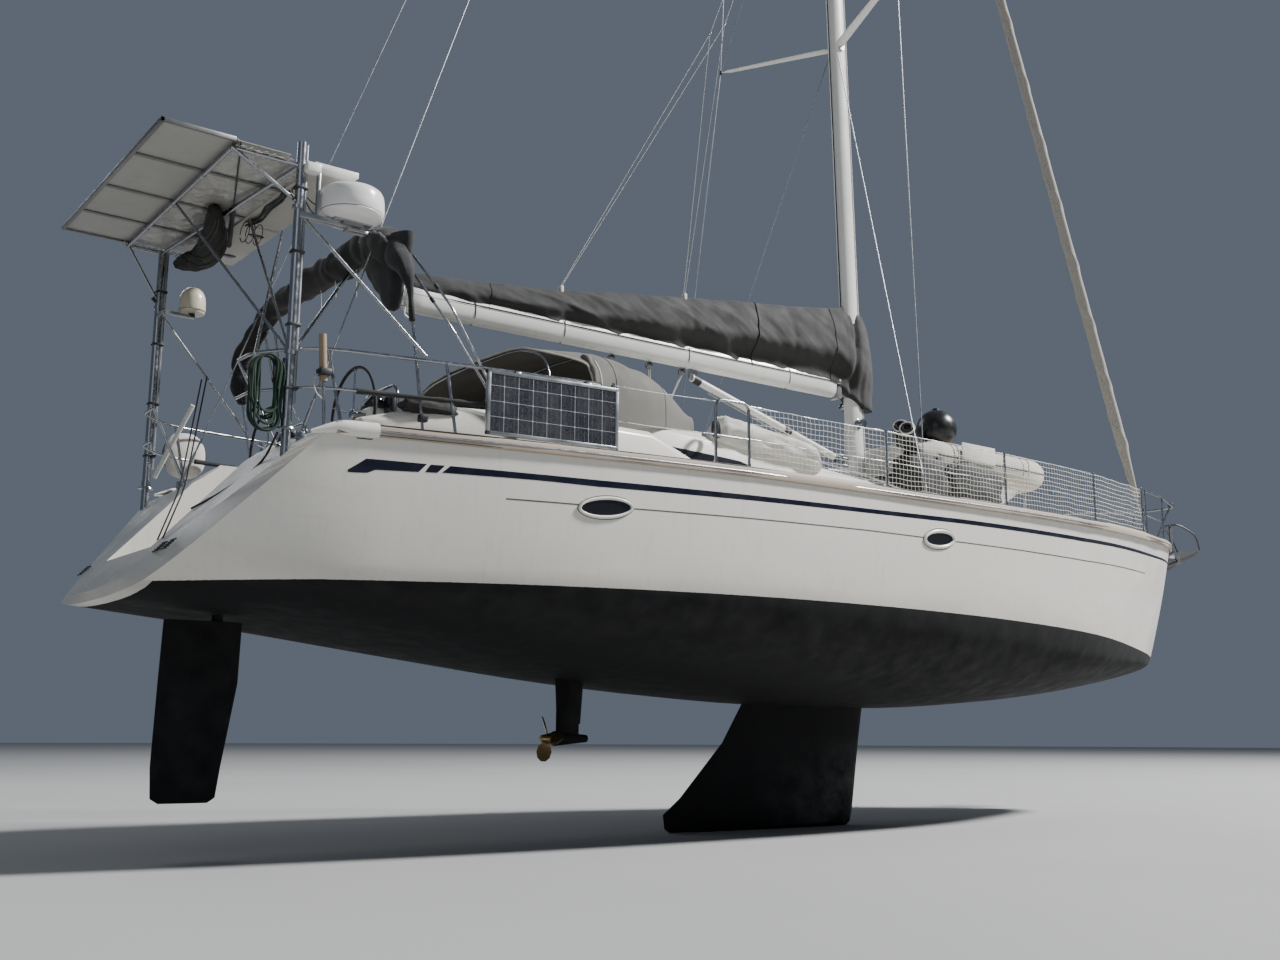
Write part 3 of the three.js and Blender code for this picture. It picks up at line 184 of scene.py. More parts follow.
# Materials
class Graph:
    """Short names for making the nodes of one material."""

    def __init__(self, name):
        self.material = bpy.data.materials.new(name)
        self.material.use_nodes = True
        self.tree = self.material.node_tree
        self.shader = self.tree.nodes["Principled BSDF"]
        self.place = self.node("TexCoord").outputs["Object"]
        self.cloth_place = self.node("TexCoord").outputs["UV"]

    def node(self, kind, inputs=None, **settings):
        made = self.tree.nodes.new("ShaderNode" + kind)
        for key, value in settings.items():
            setattr(made, key, value)
        for key, value in (inputs or {}).items():
            self.put(made.inputs[key], value)
        return made

    def put(self, socket, value):
        if isinstance(value, bpy.types.NodeSocket):
            self.tree.links.new(value, socket)
        elif socket.type == "RGBA" and len(value) == 3:
            socket.default_value = (*value, 1.0)
        else:
            socket.default_value = value

    def set(self, **values):
        for key, value in values.items():
            self.put(self.shader.inputs[key.replace("_", " ")], value)

    def math(self, operation, a, b=0.0, c=0.0, clamp=False):
        return self.node("Math", {0: a, 1: b, 2: c}, operation=operation, use_clamp=clamp).outputs[0]

    def noise(self, size, detail=3.0, stretch=(1, 1, 1), place=None, rough=0.5):
        mapped = self.node("Mapping", {0: place or self.place, 3: stretch}).outputs[0]
        return self.node("TexNoise", {"Vector": mapped, "Scale": 1 / size, "Detail": detail,
            "Roughness": rough}).outputs[0]

    def spread(self, value, low, high, to_low=0.0, to_high=1.0):
        return self.node("MapRange", {0: value, 1: low, 2: high, 3: to_low, 4: to_high},
            clamp=True).outputs[0]

    def times(self, a, b):
        return self.math("MULTIPLY", a, b)

    def mix(self, share, a, b, blend="MIX"):
        made = self.node("Mix", data_type="RGBA", blend_type=blend)
        for slot, value in ((0, share), (6, a), (7, b)):
            self.put(made.inputs[slot], value)
        return made.outputs[2]

    def stain(self, tone, share, strength, colour):
        """A tone with some of a colour over it, where a mask has it."""
        return self.mix(self.times(share, strength), tone, colour)

    def bump(self, height, distance, under=None):
        made = self.node("Bump", {"Strength": 1.0, "Distance": distance, "Height": height})
        if under is not None:
            self.tree.links.new(under, made.inputs["Normal"])
        return made.outputs[0]

    def split(self, place=None):
        return self.node("SeparateXYZ", {0: place or self.place}).outputs


def shade(colour, factor):
    return tuple(min(1.0, c * factor) for c in colour)


def finish(name, colour, rough=0.5, metal=0.0, patch=(0.6, 0.08), grain=(0.004, 0.0001), grime=0.0,
        weave=0.0, creases=0.0, sheen=0.0, coat=0.0, streak=0.0):
    """A finish with patches of tone, fine grain, grime, and a weave where it is cloth."""
    if name in bpy.data.materials:
        return bpy.data.materials[name]
    g = Graph(name)
    tone = g.mix(g.noise(patch[0], 4), shade(colour, 1 - patch[1]), shade(colour, 1 + patch[1]))
    if grime:
        spots = g.spread(g.noise(patch[0] * 0.37, 8, rough=0.7), 0.5, 0.78)
        tone = g.stain(tone, spots, grime, (0.05, 0.045, 0.038))
    if streak:
        runs = g.spread(g.noise(0.05, 3, (1, 1, 0.06)), 0.52, 0.8)
        tone = g.stain(tone, runs, streak, (0.16, 0.14, 0.11))
    low, high = max(0.04, rough - 0.09), min(1.0, rough + 0.09)
    g.set(Roughness=g.spread(g.noise(patch[0] * 0.5, 5), 0.3, 0.7, low, high), Metallic=metal)
    normal = g.bump(g.noise(grain[0], 4), grain[1])
    if weave:
        u, v, _ = g.split(g.cloth_place)
        turns = tau / weave
        over = g.math("SINE", g.times(u, turns))
        under = g.math("SINE", g.times(v, turns))
        threads = g.times(over, under)
        tone = g.mix(g.spread(threads, -1, 1, 0.0, 0.22), tone, shade(colour, 0.55))
        normal = g.bump(threads, weave * 0.12, normal)
    if creases:
        normal = g.bump(g.noise(0.16, 4, (1, 1, 0.6), rough=0.6), creases, normal)
    g.set(Base_Color=tone, Normal=normal)
    g.set(Sheen_Weight=sheen, Coat_Weight=coat)
    return g.material


def gelcoat(tint=1.0, name="gelcoat"):
    return finish(name, shade(colours().gelcoat, tint), 0.24, patch=(1.6, 0.035), grain=(0.012, 0.00004),
        grime=0.05, coat=0.35, streak=0.12)


def steel(name="polished_steel", rough=0.2):
    return finish(name, (0.36, 0.375, 0.395), rough, 1.0, (0.12, 0.15), (0.003, 0.00002), grime=0.2)


def anodised():
    return finish("anodised_tube", (0.42, 0.43, 0.44), 0.34, 0.9, (0.3, 0.1), (0.002, 0.00003), grime=0.15)


def spar_white():
    return finish("spar_paint", (0.74, 0.735, 0.7), 0.32, 0.0, (0.9, 0.05), (0.01, 0.00004), 0.1, coat=0.3)


def black_plastic():
    return finish("black_plastic", (0.018, 0.018, 0.019), 0.55, 0.0, (0.1, 0.2), (0.002, 0.00008))


def rubber():
    return finish("black_rubber", (0.012, 0.012, 0.013), 0.5, 0.0, (0.1, 0.25), (0.004, 0.0001), 0.05)


def smoked_acrylic():
    return finish("smoked_acrylic", (0.012, 0.013, 0.016), 0.09, 0.0, (0.5, 0.2), (0.05, 0.00003), coat=0.5)


def rope(name, colour):
    """Laid or braided line, its strands drawn across its place on the boat."""
    if name in bpy.data.materials:
        return bpy.data.materials[name]
    g = Graph(name)
    x, y, z = g.split()
    lay = g.math("ADD", g.math("ADD", x, y), z)
    strands = g.math("SINE", g.times(lay, 900.0))
    tone = g.mix(g.spread(strands, -1, 1), shade(colour, 0.55), shade(colour, 1.1))
    tone = g.mix(g.spread(g.noise(0.02, 5), 0.45, 0.8, 0, 0.35), tone, shade(colour, 0.4))
    g.set(Base_Color=tone, Roughness=g.spread(g.noise(0.01, 3), 0.3, 0.7, 0.7, 0.95))
    g.set(Normal=g.bump(strands, 0.0006))
    return g.material


def white_line():
    return rope("white_line", (0.62, 0.6, 0.55))


def dark_line():
    return rope("dark_line", (0.03, 0.032, 0.036))


def hull_finish():
    """Gelcoat above the paint line, worn antifouling below it, and a sanded deck pattern."""
    if "hull_finish" in bpy.data.materials:
        return bpy.data.materials["hull_finish"]
    g = Graph("hull_finish")
    x, _, z = g.split()
    cream = tuple(colours().gelcoat)
    paint = tuple(colours().antifouling)
    # Height of the paint line, 0.15 aft, 0.30 amidships and 0.12 at the stem
    along = g.math("DIVIDE", g.math("ADD", x, 0.4), 7.2)
    line = g.math("SUBTRACT", 0.3, g.times(g.math("POWER", g.math("ABSOLUTE", along), 2.0), 0.15))
    edge = g.times(g.math("SUBTRACT", g.noise(0.03, 2), 0.5), 0.006)
    above = g.math("GREATER_THAN", g.math("ADD", z, edge), line)
    above = g.math("MAXIMUM", above, g.math("LESS_THAN", x, -7.33))
    tone = g.mix(g.noise(1.9, 5), shade(cream, 0.95), shade(cream, 1.04))
    scuffs = g.spread(g.noise(0.35, 9, (0.25, 0.25, 1.4), rough=0.75), 0.56, 0.8)
    tone = g.stain(tone, scuffs, 0.16, (0.33, 0.29, 0.21))
    runs = g.spread(g.noise(0.045, 4, (1, 1, 0.045)), 0.56, 0.82)
    tone = g.stain(tone, runs, 0.13, (0.2, 0.17, 0.12))
    # Yellow tide mark that fades upwards from the paint line
    tide = g.spread(g.math("SUBTRACT", z, line), 0.0, 0.42, 0.34, 0.0)
    patchy = g.spread(g.noise(0.5, 6, (0.5, 0.5, 2.0)), 0.35, 0.7, 0.35, 1.0)
    tone = g.stain(tone, tide, patchy, (0.36, 0.33, 0.23))
    dull = g.mix(g.noise(0.7, 6), shade(paint, 0.7), shade(paint, 1.45))
    chalk = g.spread(g.noise(0.16, 9, (0.6, 0.6, 1.6), rough=0.8), 0.56, 0.8)
    dull = g.stain(dull, chalk, 0.3, (0.014, 0.014, 0.015))
    scrapes = g.spread(g.noise(0.06, 6, (0.12, 0.12, 1.5), rough=0.7), 0.66, 0.8)
    dull = g.stain(dull, scrapes, 0.3, (0.024, 0.023, 0.022))
    # Sanded deck where the surface faces up
    _, _, up = g.split(g.node("NewGeometry").outputs["Normal"])
    flat = g.math("GREATER_THAN", up, 0.93)
    flat = g.times(flat, g.math("GREATER_THAN", z, 1.22))
    studs = g.node("TexVoronoi", {"Vector": g.place, "Scale": 260.0}).outputs["Distance"]
    grip = g.mix(g.spread(studs, 0.1, 0.5), shade(cream, 0.72), shade(cream, 0.86))
    tone = g.mix(flat, tone, grip)
    g.set(Base_Color=g.mix(above, dull, tone), Specular_IOR_Level=0.35)
    gloss = g.spread(g.noise(0.6, 5), 0.3, 0.7, 0.16, 0.34)
    gloss = g.node("Mix", {0: flat, 2: gloss, 3: 0.75}, data_type="FLOAT").outputs[0]
    matt = g.spread(g.noise(0.2, 6), 0.3, 0.7, 0.72, 0.95)
    g.set(Roughness=g.node("Mix", {0: above, 2: matt, 3: gloss}, data_type="FLOAT").outputs[0])
    wave = g.bump(g.noise(0.8, 2, (0.6, 0.6, 1)), 0.0009)
    brush = g.times(g.noise(0.012, 4, (0.3, 0.3, 1)), g.math("SUBTRACT", 1.0, above))
    wave = g.bump(brush, 0.0014, wave)
    g.set(Normal=g.bump(g.times(studs, flat), 0.0012, wave))
    return g.material


def keel_finish():
    """Antifouling over iron, with a painted grey sheen low down and forward, where the paint is also rubbed
    less rough.
    """
    g = Graph("keel_paint")
    x, _, z = g.split()
    paint = tuple(colours().antifouling)
    dull = g.mix(g.noise(0.5, 6), shade(paint, 0.75), shade(paint, 1.6))
    # Low down and forward the paint is rubbed less rough, and its colour is lightened to grey there as a
    # painted sheen
    rub_and_sheen_zone = g.times(g.spread(x, -0.6, 0.9), g.spread(z, -0.9, -1.6))
    worn = g.times(rub_and_sheen_zone, g.spread(g.noise(0.3, 8, rough=0.7), 0.35, 0.65))
    dull = g.stain(dull, worn, 0.65, (0.07, 0.072, 0.075))
    rust = g.spread(g.noise(0.09, 8, (1, 1, 0.5), rough=0.75), 0.66, 0.8)
    dull = g.stain(dull, rust, 0.4, (0.13, 0.06, 0.03))
    g.set(Base_Color=dull, Roughness=g.spread(worn, 0.0, 1.0, 0.82, 0.45), Specular_IOR_Level=0.3)
    g.set(Normal=g.bump(g.noise(0.02, 6), 0.0012, g.bump(g.noise(0.25, 4), 0.003)))
    return g.material


def teak_finish(name="teak", plank=0.055, turn=0.0, colour=(0.3, 0.21, 0.13)):
    """Laid planks with dark caulking, running fore and aft."""
    if name in bpy.data.materials:
        return bpy.data.materials[name]
    g = Graph(name)
    along = g.node("Mapping", {0: g.place, 2: (0, 0, turn)}).outputs[0]
    y = g.split(along)[1]
    share = g.math("FRACT", g.math("DIVIDE", y, plank))
    seam = g.math("LESS_THAN", share, 0.09)
    fibres = g.noise(0.006, 6, (0.03, 1, 1), along, 0.65)
    number = g.math("FLOOR", g.math("DIVIDE", y, plank))
    each = g.node("TexWhiteNoise", {"W": number}, noise_dimensions="1D").outputs["Value"]
    wood = g.mix(fibres, shade(colour, 0.6), shade(colour, 1.35))
    wood = g.stain(wood, each, 0.3, (0.33, 0.3, 0.26))
    wood = g.mix(seam, wood, (0.012, 0.012, 0.012))
    g.set(Base_Color=wood, Roughness=g.spread(fibres, 0.3, 0.7, 0.6, 0.85))
    g.set(Normal=g.bump(seam, -0.0012, g.bump(fibres, 0.0006)))
    return g.material


def strake_finish():
    return finish("rubbing_strake", (0.2, 0.188, 0.165), 0.42, 0.0, (0.5, 0.14), (0.008, 0.0004), 0.3,
        streak=0.2)


def cell_finish():
    """Black silicon cells with cut corners, pale grid lines and a pale dot at each crossing."""
    if "solar_cells" in bpy.data.materials:
        return bpy.data.materials["solar_cells"]
    g = Graph("solar_cells")
    u, v, _ = g.split(g.cloth_place)
    pitch = 0.128
    cu = g.math("SUBTRACT", g.math("FRACT", g.math("DIVIDE", u, pitch)), 0.5)
    cv = g.math("SUBTRACT", g.math("FRACT", g.math("DIVIDE", v, pitch)), 0.5)
    au, av = g.math("ABSOLUTE", cu), g.math("ABSOLUTE", cv)
    inside = g.math("LESS_THAN", g.math("MAXIMUM", au, av), 0.488)
    inside = g.times(inside, g.math("LESS_THAN", g.math("ADD", au, av), 0.93))
    bars = g.math("LESS_THAN", g.math("ABSOLUTE", g.math("SUBTRACT", au, 0.22)), 0.007)
    fingers = g.spread(g.math("SINE", g.times(v, tau / 0.0025)), 0.6, 1.0, 0.0, 0.03)
    blue = g.mix(g.noise(0.05, 3), (0.004, 0.0055, 0.011), (0.007, 0.009, 0.017))
    flecks = g.spread(g.noise(0.004, 2, rough=0.6), 0.52, 0.66, 0.0, 0.3)
    glass = g.mix(g.math("MAXIMUM", g.times(bars, 0.35), fingers), blue, (0.3, 0.31, 0.33))
    glass = g.mix(flecks, glass, (0.5, 0.5, 0.5))
    g.set(Base_Color=g.mix(inside, (0.5, 0.51, 0.52), glass), Coat_Weight=0.6, Coat_Roughness=0.05)
    g.set(Roughness=g.spread(g.noise(0.2, 5), 0.3, 0.7, 0.16, 0.4))
    g.set(Normal=g.bump(g.noise(0.003, 3), 0.00012))
    return g.material


def canvas(name, colour, creases=0.004):
    return finish(name, colour, 0.86, 0.0, (0.45, 0.12), (0.006, 0.0003), grime=0.1, weave=0.0022,
        creases=creases, sheen=0.12)


def cover_cloth():
    return canvas("cover_cloth", colours().cover, 0.006)


def hood_cloth():
    return canvas("hood_cloth", colours().hood, 0.004)


def black_cloth():
    return canvas("black_cloth", (0.014, 0.0145, 0.016), 0.007)


def white_cloth():
    return canvas("white_cloth", (0.66, 0.64, 0.59), 0.007)


def clear_vinyl():
    return finish("window_vinyl", (0.05, 0.052, 0.055), 0.14, 0.0, (0.2, 0.3), (0.05, 0.0016), coat=0.6)


# Shapes, each a bmesh
def smooth(shape, angle=35.0):
    """Shades a shape softly, but for its edges sharper than an angle."""
    limit = radians(angle)
    for face in shape.faces:
        face.smooth = True
    for edge in shape.edges:
        edge.smooth = not (len(edge.link_faces) == 2 and edge.calc_face_angle(0.0) > limit)
    return shape


def sealed(shape):
    """Merges the seam of a shape and turns its faces outwards."""
    bmesh.ops.remove_doubles(shape, verts=shape.verts, dist=1e-5)
    bmesh.ops.recalc_face_normals(shape, faces=shape.faces)
    return shape


def spun(shape, profile, at, toward, steps):
    """Spins a profile about the upright line, then leans and stands it at a place."""
    bmesh.ops.spin(shape, geom=profile, axis=(0, 0, 1), cent=(0, 0, 0), angle=tau, steps=steps,
        use_merge=True, use_duplicate=False)
    sealed(shape)
    lean = Vector((0, 0, 1)).rotation_difference(Vector(toward).normalized()).to_matrix()
    bmesh.ops.rotate(shape, cent=(0, 0, 0), matrix=lean, verts=shape.verts)
    bmesh.ops.translate(shape, vec=at, verts=shape.verts)
    return shape


def grid(across, along, place, size=(1.0, 1.0), closed=False):
    """A sheet whose points are put in place by their shares across and along it."""
    shape = bmesh.new()
    bmesh.ops.create_grid(shape, x_segments=across, y_segments=along, size=0.5)
    layer = shape.loops.layers.uv.verify()
    shares = {v: (v.co.x + 0.5, v.co.y + 0.5) for v in shape.verts}
    for face in shape.faces:
        for loop in face.loops:
            u, v = shares[loop.vert]
            loop[layer].uv = (u * size[0], v * size[1])
    for vert, (u, v) in shares.items():
        vert.co = place(u, v)
    return sealed(shape) if closed else shape


def walled(shape, thickness):
    """Gives a sheet a thickness, inwards."""
    bmesh.ops.recalc_face_normals(shape, faces=shape.faces)
    bmesh.ops.solidify(shape, geom=shape.faces[:], thickness=thickness)
    return shape


def bevelled(shape, width, angle=30.0):
    if width:
        limit = radians(angle)
        edges = [e for e in shape.edges if e.calc_face_angle(0.0) > limit]
        bmesh.ops.bevel(shape, geom=edges, offset=width, offset_type="OFFSET", segments=2, profile=0.5,
            affect="EDGES", clamp_overlap=True, material=-1)
    return shape


def block(low, high, bevel=0.004):
    shape = bmesh.new()
    low, high = Vector(low), Vector(high)
    bmesh.ops.create_cube(shape, size=1.0)
    bmesh.ops.scale(shape, vec=high - low, verts=shape.verts)
    bmesh.ops.translate(shape, vec=(low + high) / 2, verts=shape.verts)
    return bevelled(shape, bevel)


def turned(rows, at=(0, 0, 0), toward=(0, 0, 1), steps=32):
    """A shape spun from rows of radius and height, then stood at a place."""
    shape = bmesh.new()
    verts = [shape.verts.new((r, 0, h)) for r, h in rows]
    edges = [shape.edges.new(pair) for pair in zip(verts, verts[1:])]
    return spun(shape, verts + edges, at, toward, steps)


def slab(outline, push, bevel=0.003):
    """A flat outline of points, pushed out to a thickness."""
    shape = bmesh.new()
    face = shape.faces.new([shape.verts.new(p) for p in outline])
    made = bmesh.ops.extrude_face_region(shape, geom=[face])["geom"]
    bmesh.ops.translate(shape, verts=[v for v in made if isinstance(v, bmesh.types.BMVert)], vec=push)
    bmesh.ops.recalc_face_normals(shape, faces=shape.faces)
    return bevelled(shape, bevel)


def ring(centre, radius, thickness, toward=(0, 0, 1), steps=32, sides=10):
    """A round ring about a line."""
    shape = bmesh.new()
    bmesh.ops.create_circle(shape, segments=sides, radius=thickness,
        matrix=Matrix.Translation((radius, 0, 0)) @ Matrix.Rotation(pi / 2, 4, "X"))
    return spun(shape, shape.verts[:] + shape.edges[:], centre, toward, steps)


def copy_of(node, angle=30.0, bevel=0.0):
    """A merged copy of a node's mesh, its flats made whole."""
    shape = bmesh.new()
    shape.from_mesh(NODES[node].data)
    bmesh.ops.remove_doubles(shape, verts=shape.verts, dist=1e-5)
    if bevel:
        bmesh.ops.dissolve_limit(shape, angle_limit=radians(0.4), verts=shape.verts, edges=shape.edges)
        bevelled(shape, bevel, angle)
    return shape


def rounded(points, bend, steps=7):
    """Points of a line whose inner corners are bent through an arc."""
    points = [Vector(p) for p in points]
    if not bend:
        return points
    line = [points[0]]
    for before, corner, after in zip(points, points[1:], points[2:]):
        reach = min(bend, (before - corner).length * 0.49, (after - corner).length * 0.49)
        start = corner + (before - corner).normalized() * reach
        end = corner + (after - corner).normalized() * reach
        for step in range(steps + 1):
            t = step / steps
            line.append(start * (1 - t) ** 2 + corner * 2 * t * (1 - t) + end * t**2)
    line.append(points[-1])
    return line


class Route:
    """A line through points, with its place and two cross directions at any share of it."""

    def __init__(self, points, bend=0.0, reference=(0, 1, 0)):
        self.points = rounded(points, bend)
        self.reference = Vector(reference)
        self.marks = [0.0]
        for a, b in zip(self.points, self.points[1:]):
            self.marks.append(self.marks[-1] + (b - a).length)
        self.length = self.marks[-1]

    def at(self, share):
        distance = min(max(share, 0.0), 1.0) * self.length
        last = len(self.points) - 2
        k = next((i for i in range(last + 1) if distance <= self.marks[i + 1]), last)
        span = self.marks[k + 1] - self.marks[k]
        t = (distance - self.marks[k]) / span if span else 0.0
        here = self.points[k].lerp(self.points[k + 1], t)
        ahead = (self.points[min(k + 2, last + 1)] - self.points[max(k - 1, 0)]).normalized()
        side = ahead.cross(self.reference).normalized()
        return here, side, ahead.cross(side).normalized()


def pipe(route, around, along, radius):
    """A closed skin about a route, its radius given by shares around and along."""
    def place(u, v):
        here, side, up = route.at(v)
        angle = tau * u
        reach = radius(u, v) if 0 < v < 1 else radius(0.0, v) * 0.02
        return here + (side * cos(angle) + up * sin(angle)) * reach

    return grid(around, along, place, (0.5, route.length), closed=True)


def tree_of(*nodes):
    shape = bmesh.new()
    for node in nodes:
        shape.from_mesh(NODES[node].data)
    return BVHTree.FromBMesh(shape)


def drop(tree, x, y, z=6.0):
    """Height of the surface below a point."""
    hit = tree.ray_cast(Vector((x, y, z)), Vector((0, 0, -1)))[0]
    return hit.z if hit else None


def from_side(tree, x, z, sign, lift=0.0):
    """A point on a side of the hull or coachroof, seen from abeam, lifted off its surface."""
    start = Vector((x, sign * 4.0, z))
    hit, normal, _, _ = tree.ray_cast(start, Vector((0, -sign, 0)))
    if hit is None:
        raise RuntimeError(f"no surface abeam at x {x:.2f}, z {z:.2f}")
    if normal.y * sign < 0:
        normal = -normal
    return hit + normal * lift


def placed(name, data):
    """A new object of the scene."""
    made = bpy.data.objects.new(name, data)
    bpy.context.scene.collection.objects.link(made)
    return made


class Piece:
    """One object gathered from shapes and tubes, each with its own finish."""

    def __init__(self, name):
        self.name = name
        self.shape = bmesh.new()
        self.finishes = []
        self.tubes = []

    def number(self, material):
        if material not in self.finishes:
            self.finishes.append(material)
        return self.finishes.index(material)

    def take(self, mesh):
        self.shape.from_mesh(mesh)
        bpy.data.meshes.remove(mesh)

    def add(self, shape, material, angle=35.0):
        smooth(shape, angle)
        number = self.number(material)
        for face in shape.faces:
            face.material_index = number
        mesh = bpy.data.meshes.new("shape")
        shape.to_mesh(mesh)
        shape.free()
        self.take(mesh)

    def box(self, low, high, bevel, material):
        self.add(block(low, high, bevel), material)

    def tube(self, points, radius, material, bend=0.0, closed=False):
        self.tubes.append((rounded(points, bend), radius, self.number(material), closed))

    def clamp(self, at, ahead, radius, width, material):
        """A short sleeve or tie round a tube."""
        half = Vector(ahead).normalized() * width / 2
        self.tube([Vector(at) - half, Vector(at) + half], radius, material)

    def bend_tubes(self, sides=4):
        if not self.tubes:
            return
        curve = bpy.data.curves.new("tubes", "CURVE")
        curve.dimensions = "3D"
        curve.fill_mode = "FULL"
        curve.bevel_depth = 1.0
        curve.bevel_resolution = sides
        curve.use_fill_caps = True
        for _ in self.finishes:
            curve.materials.append(None)
        for points, radius, number, closed in self.tubes:
            spline = curve.splines.new("POLY")
            spline.points.add(len(points) - 1)
            for k, (point, place) in enumerate(zip(spline.points, points)):
                point.co = (*place, 1.0)
                share = k / max(1, len(points) - 1)
                point.radius = radius(share) if callable(radius) else radius
            spline.material_index = number
            spline.use_cyclic_u = closed
            spline.use_smooth = True
        holder = placed("tubes", curve)
        depsgraph = bpy.context.evaluated_depsgraph_get()
        mesh = bpy.data.meshes.new_from_object(holder.evaluated_get(depsgraph))
        bpy.data.objects.remove(holder)
        bpy.data.curves.remove(curve)
        self.take(mesh)

    def done(self, slot=None, *nodes, body="yacht", sides=4):
        """Makes the object, which rides on a body and stands for nodes."""
        self.bend_tubes(sides)
        mesh = bpy.data.meshes.new(self.name)
        for material in self.finishes:
            mesh.materials.append(material)
        self.shape.to_mesh(mesh)
        self.shape.free()
        made = placed(self.name, mesh)
        if body:
            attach(made, body)
        if nodes:
            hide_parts(*nodes)
        return made


def skin(name, slot, node, material, edges=30.0, bevel=0.0, angle=40.0, body="yacht"):
    """A piece that is a finished copy of its node."""
    piece = Piece(name)
    piece.add(copy_of(node, edges, bevel), material, angle)
    piece.done(slot, node, body=body)


# The stage
def build_stage():
    shape = bmesh.new()
    bmesh.ops.create_circle(shape, cap_ends=True, segments=64, radius=160.0)
    bmesh.ops.translate(shape, vec=(0, 0, FLOOR_Z), verts=shape.verts)
    mesh = bpy.data.meshes.new("floor")
    shape.to_mesh(mesh)
    shape.free()
    floor = placed("floor", mesh)
    pale = Graph("pale_floor")
    tone = pale.mix(pale.noise(3.0, 5), (0.36, 0.36, 0.355), (0.41, 0.41, 0.40))
    pale.set(Base_Color=tone, Roughness=0.85)
    mesh.materials.append(pale.material)
    world = bpy.data.worlds.new("studio")
    bpy.context.scene.world = world
    world.use_nodes = True
    world.node_tree.nodes["Background"].inputs[0].default_value = (0.60, 0.72, 0.92, 1.0)
    world.node_tree.nodes["Background"].inputs[1].default_value = 0.19
    for name, place, aim, size, power in LIGHTS:
        lamp = bpy.data.lights.new(name, "AREA")
        lamp.shape = "DISK"
        lamp.size = size
        lamp.energy = power
        holder = placed(name, lamp)
        holder.location = place
        holder.rotation_euler = (Vector(aim) - Vector(place)).to_track_quat("-Z", "Y").to_euler()
    lens = bpy.data.cameras.new("camera")
    lens.lens = CAMERA["lens"]
    lens.sensor_width = 36.0
    lens.clip_end = 400.0
    camera = placed("camera", lens)
    yaw, pitch, roll = (radians(CAMERA[k]) for k in ("yaw", "pitch", "roll"))
    ahead = Vector((cos(yaw), sin(yaw), 0)) * cos(pitch) + Vector((0, 0, sin(pitch)))
    side = Vector((sin(yaw), -cos(yaw), 0))
    up = side.cross(ahead)
    side, up = side * cos(roll) + up * sin(roll), up * cos(roll) - side * sin(roll)
    turn = Matrix((side, up, -ahead)).transposed().to_4x4()
    camera.matrix_world = Matrix.Translation(CAMERA["place"]) @ turn
    bpy.context.scene.camera = camera


CAMERA = {"place": (-10.543, -11.066, -0.941), "yaw": 52.38, "pitch": 10.7, "roll": 0.24, "lens": 38.22}
# Name, place, aim, width and power of each soft light
LIGHTS = (("key", (44.0, -26.0, 49.0), (0.0, 0.0, 1.0), 9.0, 118000.0),
    ("fill", (-18.0, -14.0, 9.0), (-2.0, 0.0, 1.5), 12.0, 200.0),
    ("back", (-6.0, 20.0, 16.0), (0.0, 0.0, 2.0), 10.0, 900.0))


# The hull
# Rows of x and height at the lower edge, then at the upper edge
SWOOSH = ((-6.165, 1.003, -6.171, 1.02), (-6.09, 1.006, -6.10, 1.07), (-6.019, 1.011, -6.035, 1.118),
    (-5.959, 1.04, -5.95, 1.12), (-5.625, 1.054, -5.562, 1.123))
SHORT_BAR = ((-5.574, 1.058, -5.533, 1.121), (-5.476, 1.062, -5.418, 1.124))
LONG_BAR = ((-5.44, 1.066, -5.375, 1.125), (-4.64, 1.083, -4.64, 1.133), (-4.06, 1.086, -4.06, 1.141),
    (-2.425, 1.132, -2.425, 1.179), (-0.99, 1.167, -0.99, 1.209), (0.37, 1.203, 0.37, 1.248),
    (2.76, 1.253, 2.76, 1.295), (4.9, 1.325, 4.9, 1.357), (6.3, 1.388, 6.3, 1.41))
GROOVE = ((-4.9, 0.91), (-4.28, 0.921), (-3.73, 0.935), (-2.53, 0.967), (-1.02, 0.999), (0.3, 1.012),
    (2.81, 1.045), (4.9, 1.108))
# Centre x and z, half length and half height of the frame and of the glass
PORTS = ((-3.996, 0.92, 0.263, 0.094, 0.234, 0.064), (0.045, 1.013, 0.246, 0.1, 0.206, 0.06))
PORT_TILT = 0.09


def band(piece, tree, sign, rows, material, lift, steps=48, thick=0.0):
    """A strip laid on a side of the hull, between its lower and upper edges."""
    def place(u, v):
        at = u * (len(rows) - 1)
        k = min(int(at), len(rows) - 2)
        row = [a + (b - a) * (at - k) for a, b in zip(rows[k], rows[k + 1])]
        x = row[0] + (row[2] - row[0]) * v
        z = row[1] + (row[3] - row[1]) * v
        return from_side(tree, x, z, sign, lift)

    shape = grid(steps, 2, place)
    for face in shape.faces:
        face.normal_update()
        if face.normal.y * sign < 0:
            face.normal_flip()
    if thick:
        bmesh.ops.solidify(shape, geom=shape.faces[:], thickness=thick)
    piece.add(shape, material)


def oval(piece, tree, sign, port):
    """A lens-shaped port: a raised rim, tinted lighter as a painted highlight, in its painted shadow line,
    round smoked glass.
    """
    cx, cz, half_long, half_high, glass_long, glass_high = port

    def spot(u, reach_x, reach_z, lift):
        angle = tau * u
        x = eased(cos(angle), 0.9) * reach_x
        z = sin(angle) * reach_z * (1 - 0.1 * cos(angle) ** 2)
        return from_side(tree, cx + x, cz + z + x * PORT_TILT, sign, lift)

    def rim(u, v):
        rise = 0.003 + 0.017 * sin(pi * v) ** 0.6
        return spot(u, glass_long + (half_long - glass_long) * v, glass_high + (half_high - glass_high) * v,
            rise)

    def glass(u, v):
        return spot(u, (glass_long + 0.004) * v, (glass_high + 0.004) * v, 0.004)

    def shadow(u, v):
        return spot(u, half_long - 0.003 + 0.011 * v, half_high - 0.003 + 0.011 * v, 0.0014)

    # The rim is gelcoat tinted 8% lighter as a painted highlight; the thin dark ring outside it is painted
    # shadow
    piece.add(grid(56, 8, rim), gelcoat(1.08, "port_rim"), 80)
    piece.add(grid(56, 1, shadow), bpy.data.materials["groove_shade"])
    piece.add(grid(56, 5, glass), smoked_acrylic())


